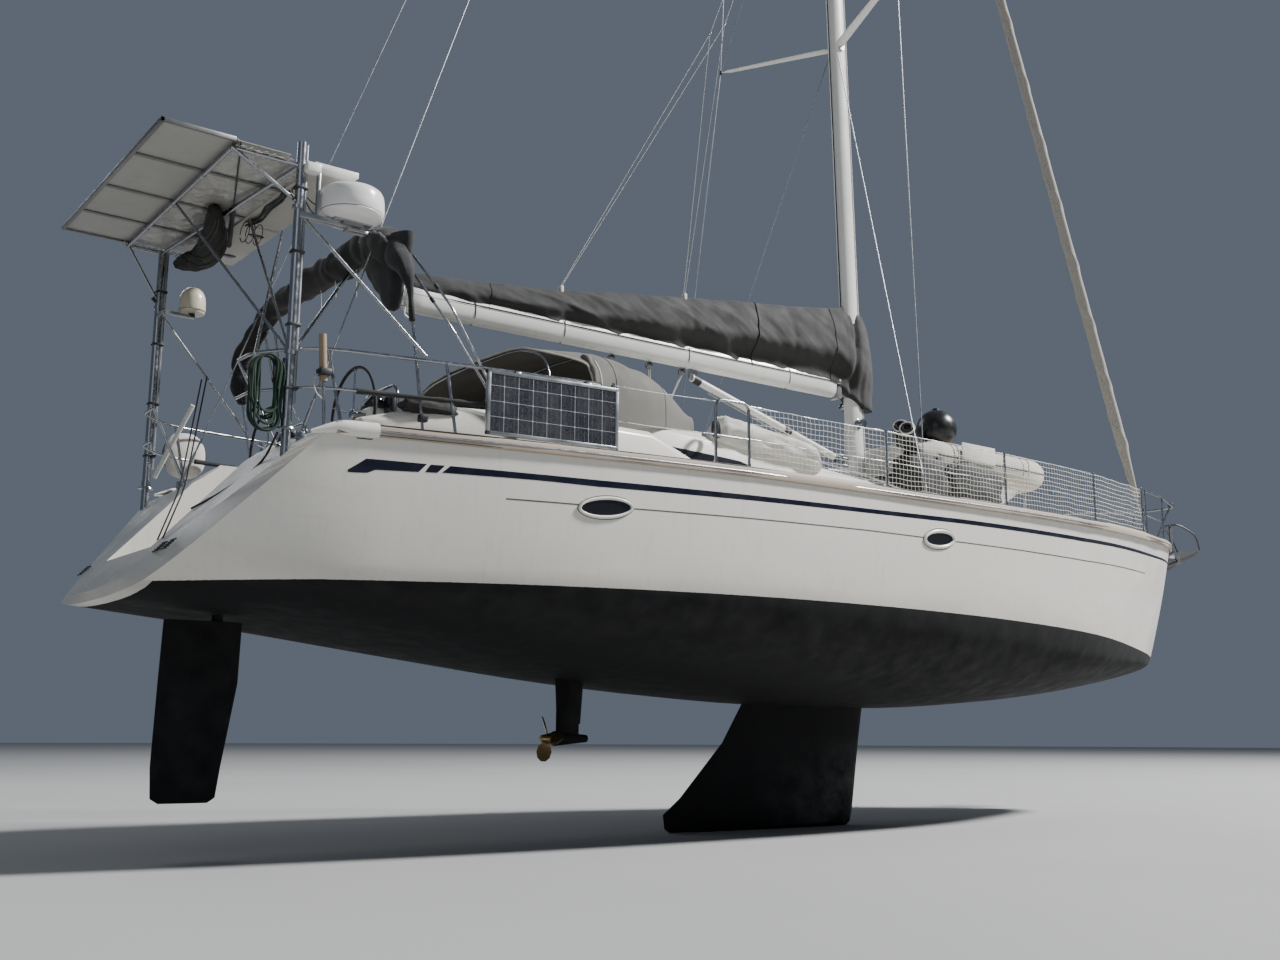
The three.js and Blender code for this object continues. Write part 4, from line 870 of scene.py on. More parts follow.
def build_hull():
    tree = tree_of("hull")
    hull = Piece("hull_skin")
    hull.add(copy_of("hull"), hull_finish(), 26)
    navy = finish("navy_stripe", colours().stripe, 0.25, 0.0, (0.4, 0.2), (0.01, 0.00003), 0.05, coat=0.15)
    shadow = finish("groove_shade", (0.085, 0.083, 0.076), 0.6, 0.0, (0.3, 0.2), (0.01, 0.0001))
    for _, sign in SIDES:
        for rows, steps in ((SWOOSH, 16), (SHORT_BAR, 4), (LONG_BAR, 120)):
            band(hull, tree, sign, rows, navy, 0.0016, steps)
        groove = [(x, z - 0.006, x, z + 0.006) for x, z in GROOVE]
        band(hull, tree, sign, groove, shadow, 0.0012, 140)
        for port in PORTS:
            oval(hull, tree, sign, port)
        slot = ((-6.12, 1.262, -6.12, 1.27), (-6.0, 1.264, -6.0, 1.272))
        band(hull, tree, sign, slot, black_plastic(), 0.002, 4)
    teak = teak_finish("laid_teak", 0.05, 0.0, (0.42, 0.34, 0.25))
    for low, high in TEAK_PADS:
        hull.box(low, high, 0.002, teak)
    black = black_plastic()
    for y in (-1.12, -0.93, 1.0):
        for k in range(5):
            z = 0.4 + 0.018 * k
            x = -7.45 + 0.92 * (z - 0.2) - 0.012
            hull.tube([(x, y - 0.055, z), (x, y + 0.055, z)], 0.006, black)
    for _, sign in SIDES:
        for x, y in CLEATS:
            z = drop(tree, x, sign * y)
            for leg in (x - 0.05, x + 0.05):
                hull.tube([(leg, sign * y, z), (leg, sign * y, z + 0.05)], 0.014, steel())
            horns = ((-0.13, 0.06), (0.0, 0.052), (0.13, 0.06))
            hull.tube([(x + out, sign * y, z + up) for out, up in horns], 0.013, steel(), 0.06)
    # A cable that hangs down the transom, and two lines from the rail to the cleat
    hull.tube([(-6.64, -1.56, 1.28), (-6.6, -1.2, 1.1), (-6.8, -0.95, 0.9), (-6.92, -0.62, 0.8)], 0.009,
        rubber(), 0.3)
    for y in (-0.72, -0.6):
        hull.tube([(-6.83, y + 0.2, 1.9), (-7.0, y + 0.05, 0.95), (-7.16, y, 0.53)], 0.006, dark_line(), 0.1)
    hull.done("gelcoat", "hull")


CLEATS = ((-6.05, 1.62), (-1.6, 2.06), (5.4, 1.18))
TEAK_PADS = (((-7.11, -0.53, 0.478), (-6.63, 0.53, 0.487)), ((-6.58, -0.53, 0.718), (-6.32, 0.53, 0.727)),
    ((-6.28, -0.53, 0.898), (-6.07, 0.53, 0.907)), ((-6.02, -1.29, 0.929), (-4.73, -0.58, 0.937)),
    ((-6.02, 0.58, 0.929), (-4.73, 1.29, 0.937)), ((-6.02, -0.54, 0.899), (-4.73, 0.54, 0.908)),
    ((-4.68, -0.49, 0.929), (-3.18, 0.49, 0.937)), ((-4.68, -1.31, 1.239), (-3.18, -0.55, 1.248)),
    ((-4.68, 0.55, 1.239), (-3.18, 1.31, 1.248)))


def build_strakes():
    for side, sign in SIDES:
        strake = Piece(f"strake_{side}")
        strake.add(copy_of(f"gunwale_{side}", 40, 0.004), strake_finish(), 40)
        outer, lower, inner = [], [], []
        steps = 110
        for k in range(steps + 1):
            x = -6.26 + 13.5 * k / steps
            _, beam, z = smooth_between(SHEER, x)
            outer.append((x, sign * (beam + 0.026), z - 0.018))
            lower.append((x, sign * (beam + 0.024), z - 0.05))
            inner.append((x, sign * (beam + 0.014), z + 0.03))
        strake.tube(outer, 0.0085, steel("strake_strip", 0.3))
        strake.tube(lower, 0.005, rubber())
        strake.tube(inner, 0.005, rubber())
        moulded = gelcoat(1.02, "stern_moulding")

        def cap(u, v):
            x = -6.46 + 0.5 * v
            _, beam, z = between(SHEER, max(x, -6.28))
            beam += (x + 6.28) * 0.2 if x < -6.28 else 0.0
            z += (x + 6.28) * 0.28 if x < -6.28 else 0.0
            angle = pi * (1.22 * u - 0.38)
            swell = min(1.0, 0.16 + 1.6 * v)
            return Vector((x, sign * (beam - 0.012 + 0.05 * cos(angle) * swell),
                z - 0.012 + 0.058 * sin(angle) * swell))

        strake.add(walled(grid(14, 10, cap), 0.006), moulded)
        strake.done("rubbing_strake", f"gunwale_{side}")


def build_underbody():
    skin("keel_skin", "keel_paint", "keel", keel_finish())
    skin("rudder_skin", "antifouling", "rudder", hull_finish(), body="rudder")
    skin("sail_drive_skin", "antifouling", "sail_drive_leg", hull_finish(), 30, 0.006)
    bronze = finish("bronze", (0.42, 0.3, 0.13), 0.38, 0.9, (0.08, 0.25), (0.004, 0.0002), grime=0.5)
    skin("propeller_skin", "bronze", "propeller", bronze, 40, 0.003, 50, "propeller")


# Deck, coachroof and cockpit
ROOF_WINDOWS = (((-3.0, 1.68, -3.0, 1.72), (-2.97, 1.64, -2.96, 1.77), (-2.9, 1.625, -2.88, 1.79),
    (-1.62, 1.60, -1.66, 1.76), (-1.5, 1.61, -1.56, 1.74), (-1.42, 1.65, -1.44, 1.69)),
    ((-1.2, 1.64, -1.2, 1.68), (-1.16, 1.605, -1.14, 1.72), (-1.08, 1.595, -1.06, 1.735),
    (0.75, 1.575, 0.6, 1.68), (0.95, 1.58, 0.85, 1.66), (1.12, 1.6, 1.1, 1.62)))


def framed_lid(name, node, body, border=0.035):
    """A hatch lid: an aluminium frame round smoked acrylic, with its hinges and handles."""
    low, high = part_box(node)
    lid = Piece(name)
    lid.box(low, (high.x, high.y, high.z - 0.006), 0.006, anodised())
    pane_low = (low.x + border, low.y + border, high.z - 0.012)
    pane_high = (high.x - border, high.y - border, high.z - 0.001)
    lid.box(pane_low, pane_high, 0.003, smoked_acrylic())
    for y in (low.y + 0.1, high.y - 0.1):
        lid.box((high.x - 0.05, y - 0.03, high.z - 0.01), (high.x - 0.006, y + 0.03, high.z), 0.003,
            anodised())
        lid.add(turned([(0, 0), (0.016, 0), (0.016, 0.006), (0, 0.006)], (low.x + 0.07, y, high.z - 0.005)),
            black_plastic())
    lid.done("dark_acrylic", node, body=body)


def build_coachroof():
    tree = tree_of("coachroof")
    roof = Piece("coachroof_skin")
    roof.add(copy_of("coachroof", 18, 0.012), hull_finish(), 30)
    for _, sign in SIDES:
        for rows in ROOF_WINDOWS:
            band(roof, tree, sign, rows, smoked_acrylic(), 0.004, 60, 0.006)
        rail = []
        for x in (-1.35, -0.35, 0.65, 1.6):
            y = sign * (1.0 - max(0.0, x + 1.35) * 0.12)
            z = drop(tree, x, y)
            rail.append((x, y, z + 0.075))
            roof.tube([(x, y, z - 0.01), (x, y, z + 0.075)], 0.011, steel())
            roof.add(turned([(0, 0), (0.028, 0), (0.022, 0.008), (0, 0.01)], (x, y, z - 0.003)), steel())
        roof.tube(rail, 0.0125, steel(), 0.2)
        # Line organisers and clutches ahead of the roof winches
        for k in range(4):
            x, y = -2.38, sign * (0.60 + 0.075 * k)
            z = drop(tree, x, y)
            roof.box((x - 0.09, y - 0.03, z - 0.005), (x + 0.09, y + 0.03, z + 0.055), 0.01, black_plastic())
            roof.box((x - 0.1, y - 0.014, z + 0.05), (x + 0.02, y + 0.014, z + 0.07), 0.005, steel())
    for x, y, half in ((0.35, -0.42, 0.17), (0.35, 0.42, 0.17), (2.15, 0.0, 0.2)):
        z = drop(tree, x, y)
        roof.box((x - half, y - half, z - 0.01), (x + half, y + half, z + 0.028), 0.006, anodised())
        inner = half - 0.03
        roof.box((x - inner, y - inner, z + 0.02), (x + inner, y + inner, z + 0.032), 0.003, smoked_acrylic())
    roof.done("gelcoat", "coachroof")
    framed_lid("saloon_lid", "saloon_hatch_lid", "saloon_hatch")
    framed_lid("fore_lid", "fore_hatch_lid", "fore_hatch")
    slide = Piece("companionway_slide_top")
    slide.add(copy_of("companionway_hatch", 30, 0.008), smoked_acrylic(), 40)
    low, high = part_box("companionway_hatch")
    slide.tube([(low.x + 0.06, -0.2, high.z - 0.02), (low.x + 0.06, -0.2, high.z + 0.018),
        (low.x + 0.06, 0.2, high.z + 0.018), (low.x + 0.06, 0.2, high.z - 0.02)], 0.007, steel(), 0.03)
    slide.done("dark_acrylic", "companionway_hatch", body="companionway_hatch")
    boards = Piece("washboards")
    low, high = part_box("washboard")
    for k in range(3):
        z0 = low.z + (high.z - low.z) * k / 3
        z1 = low.z + (high.z - low.z) * (k + 1) / 3 - 0.004
        boards.box((low.x, low.y, z0), (high.x, high.y, z1), 0.004, smoked_acrylic())
    boards.add(turned([(0, 0), (0.02, 0), (0.016, 0.02), (0, 0.02)], (low.x, 0.0, 1.95), (-1, 0, 0)), steel())
    boards.done("dark_acrylic", "washboard")
    skin("fore_hatch_frame", "aluminium", "fore_hatch_coaming", anodised(), 30, 0.004)


WINCH_DRUM = ((0, 0), (0.92, 0), (0.92, 0.07), (0.98, 0.08), (0.98, 0.14), (0.8, 0.19), (0.66, 0.28),
    (0.6, 0.45), (0.6, 0.62), (0.66, 0.7), (0.86, 0.75))
WINCH_CAP = ((0.86, 0.76), (0.86, 0.79), (0.7, 0.82), (0.7, 0.86), (0.86, 0.89), (0.84, 0.94), (0.5, 0.98),
    (0.2, 0.985), (0.19, 1.0), (0, 1.0))


def build_cockpit():
    for side, sign in SIDES:
        skin(f"coaming_skin_{side}", "gelcoat", f"coaming_{side}", hull_finish(), 25, 0.018, 35)
        winches = Piece(f"winches_{side}")
        for node in (f"primary_winch_{side}", f"roof_winch_{side}"):
            low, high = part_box(node)
            centre = ((low.x + high.x) / 2, (low.y + high.y) / 2, low.z)
            radius, height = (high.x - low.x) / 2, high.z - low.z
            for rows, material in ((WINCH_DRUM, steel()), (WINCH_CAP, steel("winch_top", 0.12))):
                winches.add(turned([(r * radius, h * height) for r, h in rows], centre, steps=40), material,
                    25)
            for k in range(18):
                angle = tau * k / 18
                r = 0.605 * radius
                x, y = centre[0] + r * cos(angle), centre[1] + r * sin(angle)
                winches.tube([(x, y, low.z + 0.32 * height), (x, y, low.z + 0.66 * height)], 0.0035,
                    steel("drum_rib", 0.4))
        winches.done("steel", f"primary_winch_{side}", f"roof_winch_{side}")
        pedestal = Piece(f"pedestal_skin_{side}")
        pedestal.add(copy_of(f"helm_pedestal_{side}", 25, 0.028), gelcoat(), 40)
        x, y = WHEEL[0] + 0.19, sign * WHEEL[1]
        pedestal.box((x - 0.075, y - 0.12, 1.752), (x + 0.085, y + 0.12, 1.79), 0.014, black_plastic())
        pedestal.add(turned([(0, 0), (0.085, 0), (0.088, 0.03), (0.07, 0.075), (0.035, 0.1), (0, 0.106)],
            (x, y, 1.785)), smoked_acrylic())
        pedestal.box((x + 0.04, y - 0.24, 1.70), (x + 0.09, y - 0.09, 1.86), 0.014, black_plastic())
        pedestal.box((x + 0.034, y - 0.225, 1.72), (x + 0.041, y - 0.105, 1.84), 0.002, smoked_acrylic())
        pedestal.tube([(x + 0.06, y - 0.3, 1.0), (x + 0.06, y - 0.3, 1.93), (x + 0.06, y + 0.3, 1.93),
            (x + 0.06, y + 0.3, 1.0)], 0.0125, steel(), 0.14)
        pedestal.done("gelcoat", f"helm_pedestal_{side}")
        wheel = Piece(f"wheel_rim_{side}")
        hub = Vector((WHEEL[0], y, WHEEL[2]))
        wheel.add(ring(hub, WHEEL[3], 0.0145, (1, 0, 0), 72, 12), black_cloth())
        for k in range(5):
            angle = tau * k / 5 + pi / 2
            out = Vector((0, cos(angle), sin(angle)))
            wheel.tube([hub + out * 0.03, hub + out * (WHEEL[3] - 0.006)], 0.0075, steel())
            wheel.clamp(hub + out * (WHEEL[3] - 0.018), out, 0.013, 0.026, steel())
        wheel.add(turned([(0, -0.026), (0.03, -0.026), (0.042, -0.016), (0.042, 0.012), (0.03, 0.03),
            (0.026, 0.1), (0, 0.1)], hub, (1, 0, 0)), steel())
        wheel.done("steel", f"helm_wheel_{side}", body=f"wheel_{side}")
    table = Piece("table_leaves")
    table.add(copy_of("cockpit_table", 30, 0.006),
        teak_finish("varnished_teak", 0.08, 0.0, (0.34, 0.2, 0.1)), 40)
    low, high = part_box("cockpit_table")
    for x in (low.x + 0.15, high.x - 0.15):
        for y in (low.y + 0.01, high.y - 0.01):
            table.box((x - 0.04, y - 0.012, high.z - 0.03), (x + 0.04, y + 0.012, high.z - 0.004), 0.002,
                steel())
    table.done("teak", "cockpit_table")


# The rig
SPREADERS = ((7.6, 1.65, 0.12), (11.9, 1.33, 0.1), (16.1, 0.98, 0.08))
MAST_SIZE = ((2.04, 1.0), (15.0, 1.0), (19.5, 0.72), (20.4, 0.62))


def spreader_tip(row, sign):
    z, length, lift = row
    return Vector((mast_x(z) - 0.36 * length, sign * length * 0.93, z + lift))


def build_mast():
    mast = Piece("mast_tube")
    foot_z, head_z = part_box("mast")[0].z + 0.012, 20.4

    def place(u, v):
        z = foot_z + (head_z - foot_z) * clamped((v - 0.01) / 0.98)
        size = between(MAST_SIZE, z)[1] if 0 < v < 1 else 0.02
        angle = tau * u
        return Vector((mast_x(z) + MAST_HALF[0] * size * cos(angle), MAST_HALF[1] * size * sin(angle), z))

    mast.add(grid(32, 60, place, (0.7, 18.4), closed=True), spar_white(), 50)
    track = [(mast_x(z) - MAST_HALF[0] * between(MAST_SIZE, z)[1] - 0.002, 0, z)
        for z in (3.6, 9.0, 15.0, 19.5)]
    mast.tube(track, 0.008, black_plastic())
    mast.add(turned([(0, 0), (0.19, 0), (0.185, 0.02), (0.15, 0.028), (0, 0.028)],
        (mast_x(2.05), 0, foot_z - 0.012)), anodised())
    for row in SPREADERS:
        z = row[0]
        for _, sign in SIDES:
            tip = spreader_tip(row, sign)
            root = Vector((mast_x(z) - 0.02, 0, z))

            def blade(u, v, root=root, tip=tip):
                here = root.lerp(tip, clamped((v - 0.01) / 0.98))
                size = (1 - 0.4 * v) if 0 < v < 1 else 0.02
                angle = tau * u
                return here + Vector((0.072 * size * cos(angle), 0, 0.016 * size * sin(angle)))

            mast.add(grid(20, 12, blade, closed=True), spar_white(), 60)
            mast.clamp(tip + Vector((-0.004, 0, 0)), (0.1, 0, 1), 0.016, 0.05, rubber())
        mast.clamp((mast_x(z), 0, z), (0, 1, 0), 0.045, 0.2, anodised())
    x = mast_x(20.4)
    mast.box((x - 0.33, -0.04, 20.38), (x + 0.17, 0.04, 20.44), 0.008, anodised())
    for low, high in GOOSENECK_PLATES:
        mast.box(low, high, 0.004, anodised())
    for y in (0.05, -0.05):
        mast.add(turned([(r * 0.06, h * 0.1) for r, h in WINCH_DRUM + WINCH_CAP[1:]],
            (mast_x(3.9) + 0.02, y * 1.7, 2.75 + (0.25 if y > 0 else 0)), (0, y, 0)), steel(), 25)
    for y, x_off in ((0.06, 0.085), (-0.06, 0.085), (0.03, 0.12), (-0.035, 0.118)):
        line = [(mast_x(z) + x_off * (0.62 if z > 20 else 1) + 0.02, y, z) for z in (2.2, 8.0, 14.0, 19.9)]
        mast.tube(line, 0.0055, dark_line() if y > 0 else white_line())
    mast.done("spar", "mast")


GOOSENECK_PLATES = (((0.998, -0.024, 3.078), (1.16, 0.024, 3.118)),
    ((0.998, -0.024, 3.222), (1.16, 0.024, 3.262)), ((1.006, -0.024, 2.228), (1.19, 0.024, 2.246)),
    ((1.006, -0.024, 2.314), (1.19, 0.024, 2.332)))


def bottle_screw(piece, foot, toward, length=0.3):
    """A rigging screw between a plate and a wire."""
    foot = Vector(foot)
    out = (Vector(toward) - foot).normalized()
    piece.tube([foot, foot + out * length], 0.008, steel())
    piece.tube([foot + out * 0.07, foot + out * (length - 0.06)], 0.0135, steel("screw_body", 0.3))
    piece.tube([foot + out * (length - 0.02), foot + out * (length + 0.1)], 0.0095, steel())


def build_rigging():
    wire = steel("rigging_wire", 0.42)
    thick = sizes().wire / 2
    hull = tree_of("hull")
    for side, sign in SIDES:
        rig = Piece(f"shroud_wires_{side}")
        x, y = 0.03, sign * 2.09
        z = drop(hull, x, y)
        tips = [spreader_tip(row, sign) + Vector((-0.004, sign * 0.0072, 0)) for row in SPREADERS]
        head = Vector((mast_x(20.4) - 0.02, sign * (0.0527 + 0.014), 20.3))
        rig.tube([(x, y, z + 0.07), *tips, head], thick, wire)
        rig.tube([(x + 0.03, y - sign * 0.015, z + 0.08), (mast_x(7.5) - 0.07, sign * 0.083, 7.48)], thick,
            wire)
        # Wires between the spreader roots and tips
        for low, high in zip(SPREADERS, SPREADERS[1:]):
            rig.tube([spreader_tip(low, sign), (mast_x(high[0]) - 0.03, sign * 0.08, high[0] - 0.1)],
                thick * 0.8, wire)
        rig.box((x - 0.06, y - 0.012, z - 0.03), (x + 0.09, y + 0.012, z + 0.09), 0.005, steel())
        rig.box((x - 0.09, y - 0.03, z - 0.004), (x + 0.12, y + 0.03, z + 0.006), 0.003, steel())
        bottle_screw(rig, (x, y, z + 0.06), tips[0])
        bottle_screw(rig, (x + 0.045, y - sign * 0.015, z + 0.06), (mast_x(7.5) - 0.07, sign * 0.083, 7.48))
        rig.done("steel", f"shrouds_{side}", sides=3)
        stay = Piece(f"backstay_wire_{side}")
        x, y = -6.37, sign * 1.33
        z = drop(hull, x + 0.01, y)
        top = (mast_x(20.4) - 0.3364, sign * 0.03, 20.42)
        stay.tube([(x + 0.012, y, z + 0.04), top], thick, wire)
        stay.box((x - 0.025, y - 0.012, z - 0.03), (x + 0.045, y + 0.012, z + 0.06), 0.004, steel())
        stay.box((x - 0.05, y - 0.03, z - 0.004), (x + 0.07, y + 0.03, z + 0.006), 0.003, steel())
        bottle_screw(stay, (x + 0.012, y, z + 0.04), top, 0.38)
        stay.done("steel", f"backstay_{side}", sides=3)


def build_boom():
    boom = Piece("boom_spar")
    aft, fore = BOOM_ENDS

    def place(u, v):
        x = aft + (fore - aft) * clamped((v - 0.01) / 0.98)
        size = 1.0 if 0 < v < 1 else 0.02
        angle = tau * u
        y = 0.09 * eased(cos(angle), 0.9)
        z = 0.135 * eased(sin(angle), 0.82)
        return Vector((x, y * size, boom_bottom(x) + 0.135 + z * size))

    boom.add(grid(40, 40, place, (0.7, 5.85), closed=True), spar_white(), 50)
    top = [(x, 0, boom_bottom(x) + 0.268) for x in (aft + 0.02, fore - 0.02)]
    boom.tube(top, 0.012, black_plastic())
    for sign in (-1, 1):
        line = [(x, sign * 0.088, boom_bottom(x) + 0.16) for x in (aft + 0.02, fore - 0.02)]
        boom.tube(line, 0.0035, finish("boom_seam", (0.3, 0.3, 0.29), 0.6))
    z = boom_bottom(aft) + 0.135
    boom.box((aft - 0.012, -0.07, z - 0.11), (aft + 0.05, 0.07, z + 0.125), 0.03, anodised())
    boom.add(ring((aft - 0.015, 0, z + 0.04), 0.045, 0.012, (0, 1, 0), 24, 8), anodised())
    boom.tube([(aft + 0.06, -0.05, z - 0.1), (aft + 0.05, -0.055, z - 0.19), (aft + 0.12, -0.055, z - 0.22),
        (aft + 0.14, -0.05, z - 0.15)], 0.009, spar_white(), 0.03)
    boom.box((fore - 0.05, -0.085, z - 0.09), (fore + 0.012, 0.085, z + 0.16), 0.02, anodised())
    boom.box((0.91, -0.016, 3.119), (1.03, 0.016, 3.221), 0.004, anodised())
    boom.tube([(1.03, 0, 3.1186), (1.03, 0, 3.2214)], 0.02, steel())
    low = boom_bottom(-1.29)
    boom.box((-1.35, -0.014, low - 0.118), (-1.23, 0.014, low + 0.03), 0.006, anodised())
    for x in SHEET_BLOCKS:
        pulley(boom, (x, 0, boom_bottom(x) - 0.055), (0, 1, 0))
    boom.done("spar", "boom", body="boom_assembly")
    vang = Piece("vang_strut")
    head, foot = Vector((-1.29, 0, low - 0.104)), Vector((1.03, 0, 2.28))
    out = (head - foot).normalized()
    vang.tube([foot + out * 0.11, head + out * 0.02], 0.042, spar_white())
    vang.tube([foot + out * 0.9, foot + out * 1.0], 0.047, black_plastic())
    vang.tube([foot + out * 0.1, foot + out * 0.16], 0.045, black_plastic())
    vang.tube([head - out * 0.1, head], 0.045, black_plastic())
    vang.tube([foot, foot + out * 0.13], 0.016, steel())
    vang.tube([foot - Vector((0, 0, 0.0336)), foot + Vector((0, 0, 0.0336))], 0.02, steel())
    for offset in (-0.035, 0.03):
        side = Vector((0, offset, -0.055))
        vang.tube([foot + out * 0.3 + side, head - out * 0.25 + side], 0.006, white_line())
    vang.done("spar", "vang", body="boom_assembly")


SHEET_BLOCKS = (-2.4, -1.9, -1.45)


def pulley(piece, at, axle, size=0.038):
    """A block: two black cheeks, a sheave and a shackle."""
    at, axle = Vector(at), Vector(axle)
    for offset in (-0.014, 0.014):
        piece.add(turned([(0, -0.004), (size, -0.004), (size, 0.003), (size * 0.8, 0.005), (0, 0.005)],
            at + axle * offset, axle, 20), black_plastic())
    piece.add(turned([(0, -0.009), (size * 0.85, -0.009), (size * 0.6, 0), (size * 0.85, 0.009),
        (0, 0.009)], at, axle, 20), steel())
    piece.tube([at, at + Vector((0, 0, size * 1.5))], 0.007, steel())


# Canvas and sail on the boom and the forestay
# Rows of x, half width at the foot, half width at the widest, and top
COVER = ((-4.76, 0.07, 0.075, 3.36), (-4.2, 0.094, 0.108, 3.42), (-3.31, 0.095, 0.132, 3.52),
    (-2.3, 0.096, 0.16, 3.68), (-1.33, 0.096, 0.185, 3.83), (-0.5, 0.096, 0.2, 3.95),
    (0.3, 0.096, 0.205, 4.06), (0.85, 0.1, 0.19, 4.15), (1.13, 0.12, 0.185, 4.22), (1.3, 0.13, 0.18, 4.2),
    (1.4, 0.11, 0.14, 4.12), (1.5, 0.07, 0.08, 3.9), (1.53, 0.03, 0.03, 3.6))
COVER_TABS = (-3.05, -1.41)
COVER_TIES = (-4.1, *COVER_TABS, 0.1)


def cover_foot(x):
    low = boom_bottom(min(x, 0.95)) + 0.165
    drop_share = clamped((x - 0.78) / 0.5)
    return low + (2.95 - low) * drop_share**1.4


def cover_spot(x, around, puff=0.0):
    """A place on the cover, around it from its port foot (0) over the top to its starboard foot (1)."""
    _, foot, widest, top = smooth_between(COVER, x)
    side = 2 * around - 1
    height = 1 - abs(side) ** 1.25
    low = cover_foot(x)
    rows = ((0.0, foot * 0.9), (0.16, foot * 0.86), (0.36, widest), (0.5, widest * 0.97),
        (0.76, widest * 0.66), (1.0, 0.024))
    half = smooth_between(rows, height)[1]
    z = low + (top - low) * height
    pinch = 1.0 - 0.05 * sum(exp(-((x - tie) / 0.05) ** 2) for tie in COVER_TIES)
    slack = 0.26 * min(1.0, height * 4) * (1 - height * 0.6)
    along = x * 0.85 + z * 0.95
    fold = waver((along, side * 0.2, z * 0.25), 0.075, 2.0) * 0.35 + waver((along, side * 0.5, z * 0.4),
        0.21, 5.0) * 0.8
    droop = waver((x, side * 2, 0.0), 0.5, 9.0) * 0.4
    # Long folds that fall aft and down from the tabs on the crest
    drag = sum((1 - 2 * abs(sin((x - tab) * 4.2 + height * 5.5)) ** 0.6)
        * exp(-((x - tab - 0.45 + height * 0.5) / 0.8) ** 2) for tab in COVER_TABS)
    collar = exp(-((x - 1.2) / 0.22) ** 2) * (0.022 * waver((x * 1.6, z * 0.22, 0), 0.13, 8.0)
        - 0.03 * exp(-((x - 1.14 - 0.1 * (z - 3.6)) / 0.03) ** 2))
    reach = half * pinch + (fold + droop + drag * 0.9) * slack * 0.075 * (0.5 + widest / 0.2) + puff + collar
    drop_top = 0.018 * waver((x, 0, 0), 0.3, 7.0) * height**4
    return Vector((x, copysign(max(0.012, reach), -side) if side else 0.0, z + drop_top))


def build_sail_cover():
    cover = Piece("sail_cover_cloth")

    def place(u, v):
        inner = clamped((v - 0.004) / 0.992)
        x = -4.76 + 6.285 * inner
        if u < 0.88:
            spot = cover_spot(x, u / 0.88)
        else:
            start, end = cover_spot(x, 1.0), cover_spot(x, 0.0)
            spot = start.lerp(end, (u - 0.88) / 0.12)
        if v in (0, 1):
            centre = Vector((x, 0, (cover_foot(x) + smooth_between(COVER, x)[3]) / 2))
            spot = centre.lerp(spot, 0.02)
        return spot

    cover.add(grid(64, 300, place, (1.4, 6.3), closed=True), cover_cloth(), 70)
    seam = canvas("cover_seam", shade(colours().cover, 0.6), 0.002)
    for x, size in ((-3.92, 0.003), (-0.42, 0.009), (0.8, 0.004)):
        line = [cover_spot(x + 0.07 * sin(5 * k / 40) * size / 0.009, k / 40, 0.003) for k in range(41)]
        cover.tube(line, size, seam)
    foot_line = [cover_spot(-4.74 + 5.6 * k / 90, 1.0, 0.004) + Vector((0, 0, 0.012)) for k in range(91)]
    cover.tube(foot_line, 0.006, seam)
    cover.tube(mirrored(foot_line), 0.006, seam)
    made = cover.done("canvas_grey", "sail_cover", "cover_collar", body="")
    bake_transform(made)
    ties = Piece("cover_ties")
    webbing = canvas("tie_webbing", (0.03, 0.03, 0.032), 0.0005)
    for x in COVER_TIES:
        for end in (0.02, 0.98):
            top = cover_spot(x, end, 0.006)
            out = copysign(0.004, top.y)
            under = Vector((x, out * 20, boom_bottom(x) + 0.06))
            ties.tube([top + Vector((0, out, 0.04)), under + Vector((0, out * 3, 0)),
                Vector((x, 0, boom_bottom(x) - 0.006))], 0.005, webbing, 0.05)
    for x in COVER_TABS:
        spot = cover_spot(x, 0.5, 0.0)
        ties.box(spot - Vector((0.022, 0.03, 0.05)), spot + Vector((0.022, 0.03, 0.045)), 0.012,
            white_cloth())
    ties.done("canvas_black", body="boom_assembly")


def build_headsail():
    foot, head = Vector((7.385, 0, 1.89)), Vector((0.915, 0, 19.0))
    roll = Piece("headsail_roll")
    table = ((0.0, 0.03), (0.02, 0.05), (0.05, 0.078), (0.5, 0.062), (0.94, 0.026), (1.0, 0.016))

    def radius(u, v):
        ridge = max(0.0, sin(tau * (u + 19 * v))) ** 8
        wrinkle = waver((u * 4, v * 60, 0), 1.0, 3.0) * 0.05
        return between(table, v)[1] * (1 + 0.13 * ridge + wrinkle)

    start, end = foot.lerp(head, 0.035), foot.lerp(head, 0.97)
    sail = canvas("sail_roll", (0.56, 0.55, 0.5), 0.005)
    roll.add(pipe(Route([start, end], 0.0, (0, 1, 0)), 32, 420, radius), sail, 60)
    roll.tube([foot, start], 0.011, anodised())
    roll.tube([end, head], 0.011, anodised())
    out = (head - foot).normalized()
    roll.tube([end + out * 0.02, end + out * 0.12], 0.026, anodised())
    made = roll.done("sail_roll", "furled_headsail", body="furler")
    drum = Piece("furler_drum")
    base = foot - out * 0.1
    rows = [(0, -0.02), (0.066, -0.02), (0.066, -0.008), (0.03, 0.0), (0.03, 0.075), (0.066, 0.088),
        (0.064, 0.1), (0.02, 0.106), (0, 0.106)]
    drum.add(turned(rows, base, out), black_plastic())
    for k in range(7):
        drum.add(ring(base + out * (0.012 + 0.009 * k), 0.033, 0.005, out, 28, 8), white_line())
    drum.tube([base - out * 0.03, base], 0.019, steel())
    drum.done("steel", "furling_drum", body="furler")
    skin("stem_plate", "steel", "stem_fitting", steel(), 30, 0.002)


# Rails
MIDDLE_WIRE, WIRE_SAG = 0.305, 0.006
GATE_HOOP = (-2.82, -2.44)
POST_CAP = ((0, 0), (0.0145, 0), (0.0145, 0.006), (0.008, 0.014), (0, 0.016))
POST_FOOT = ((0, 0), (0.038, 0), (0.036, 0.006), (0.019, 0.014), (0.018, 0.07), (0, 0.07))


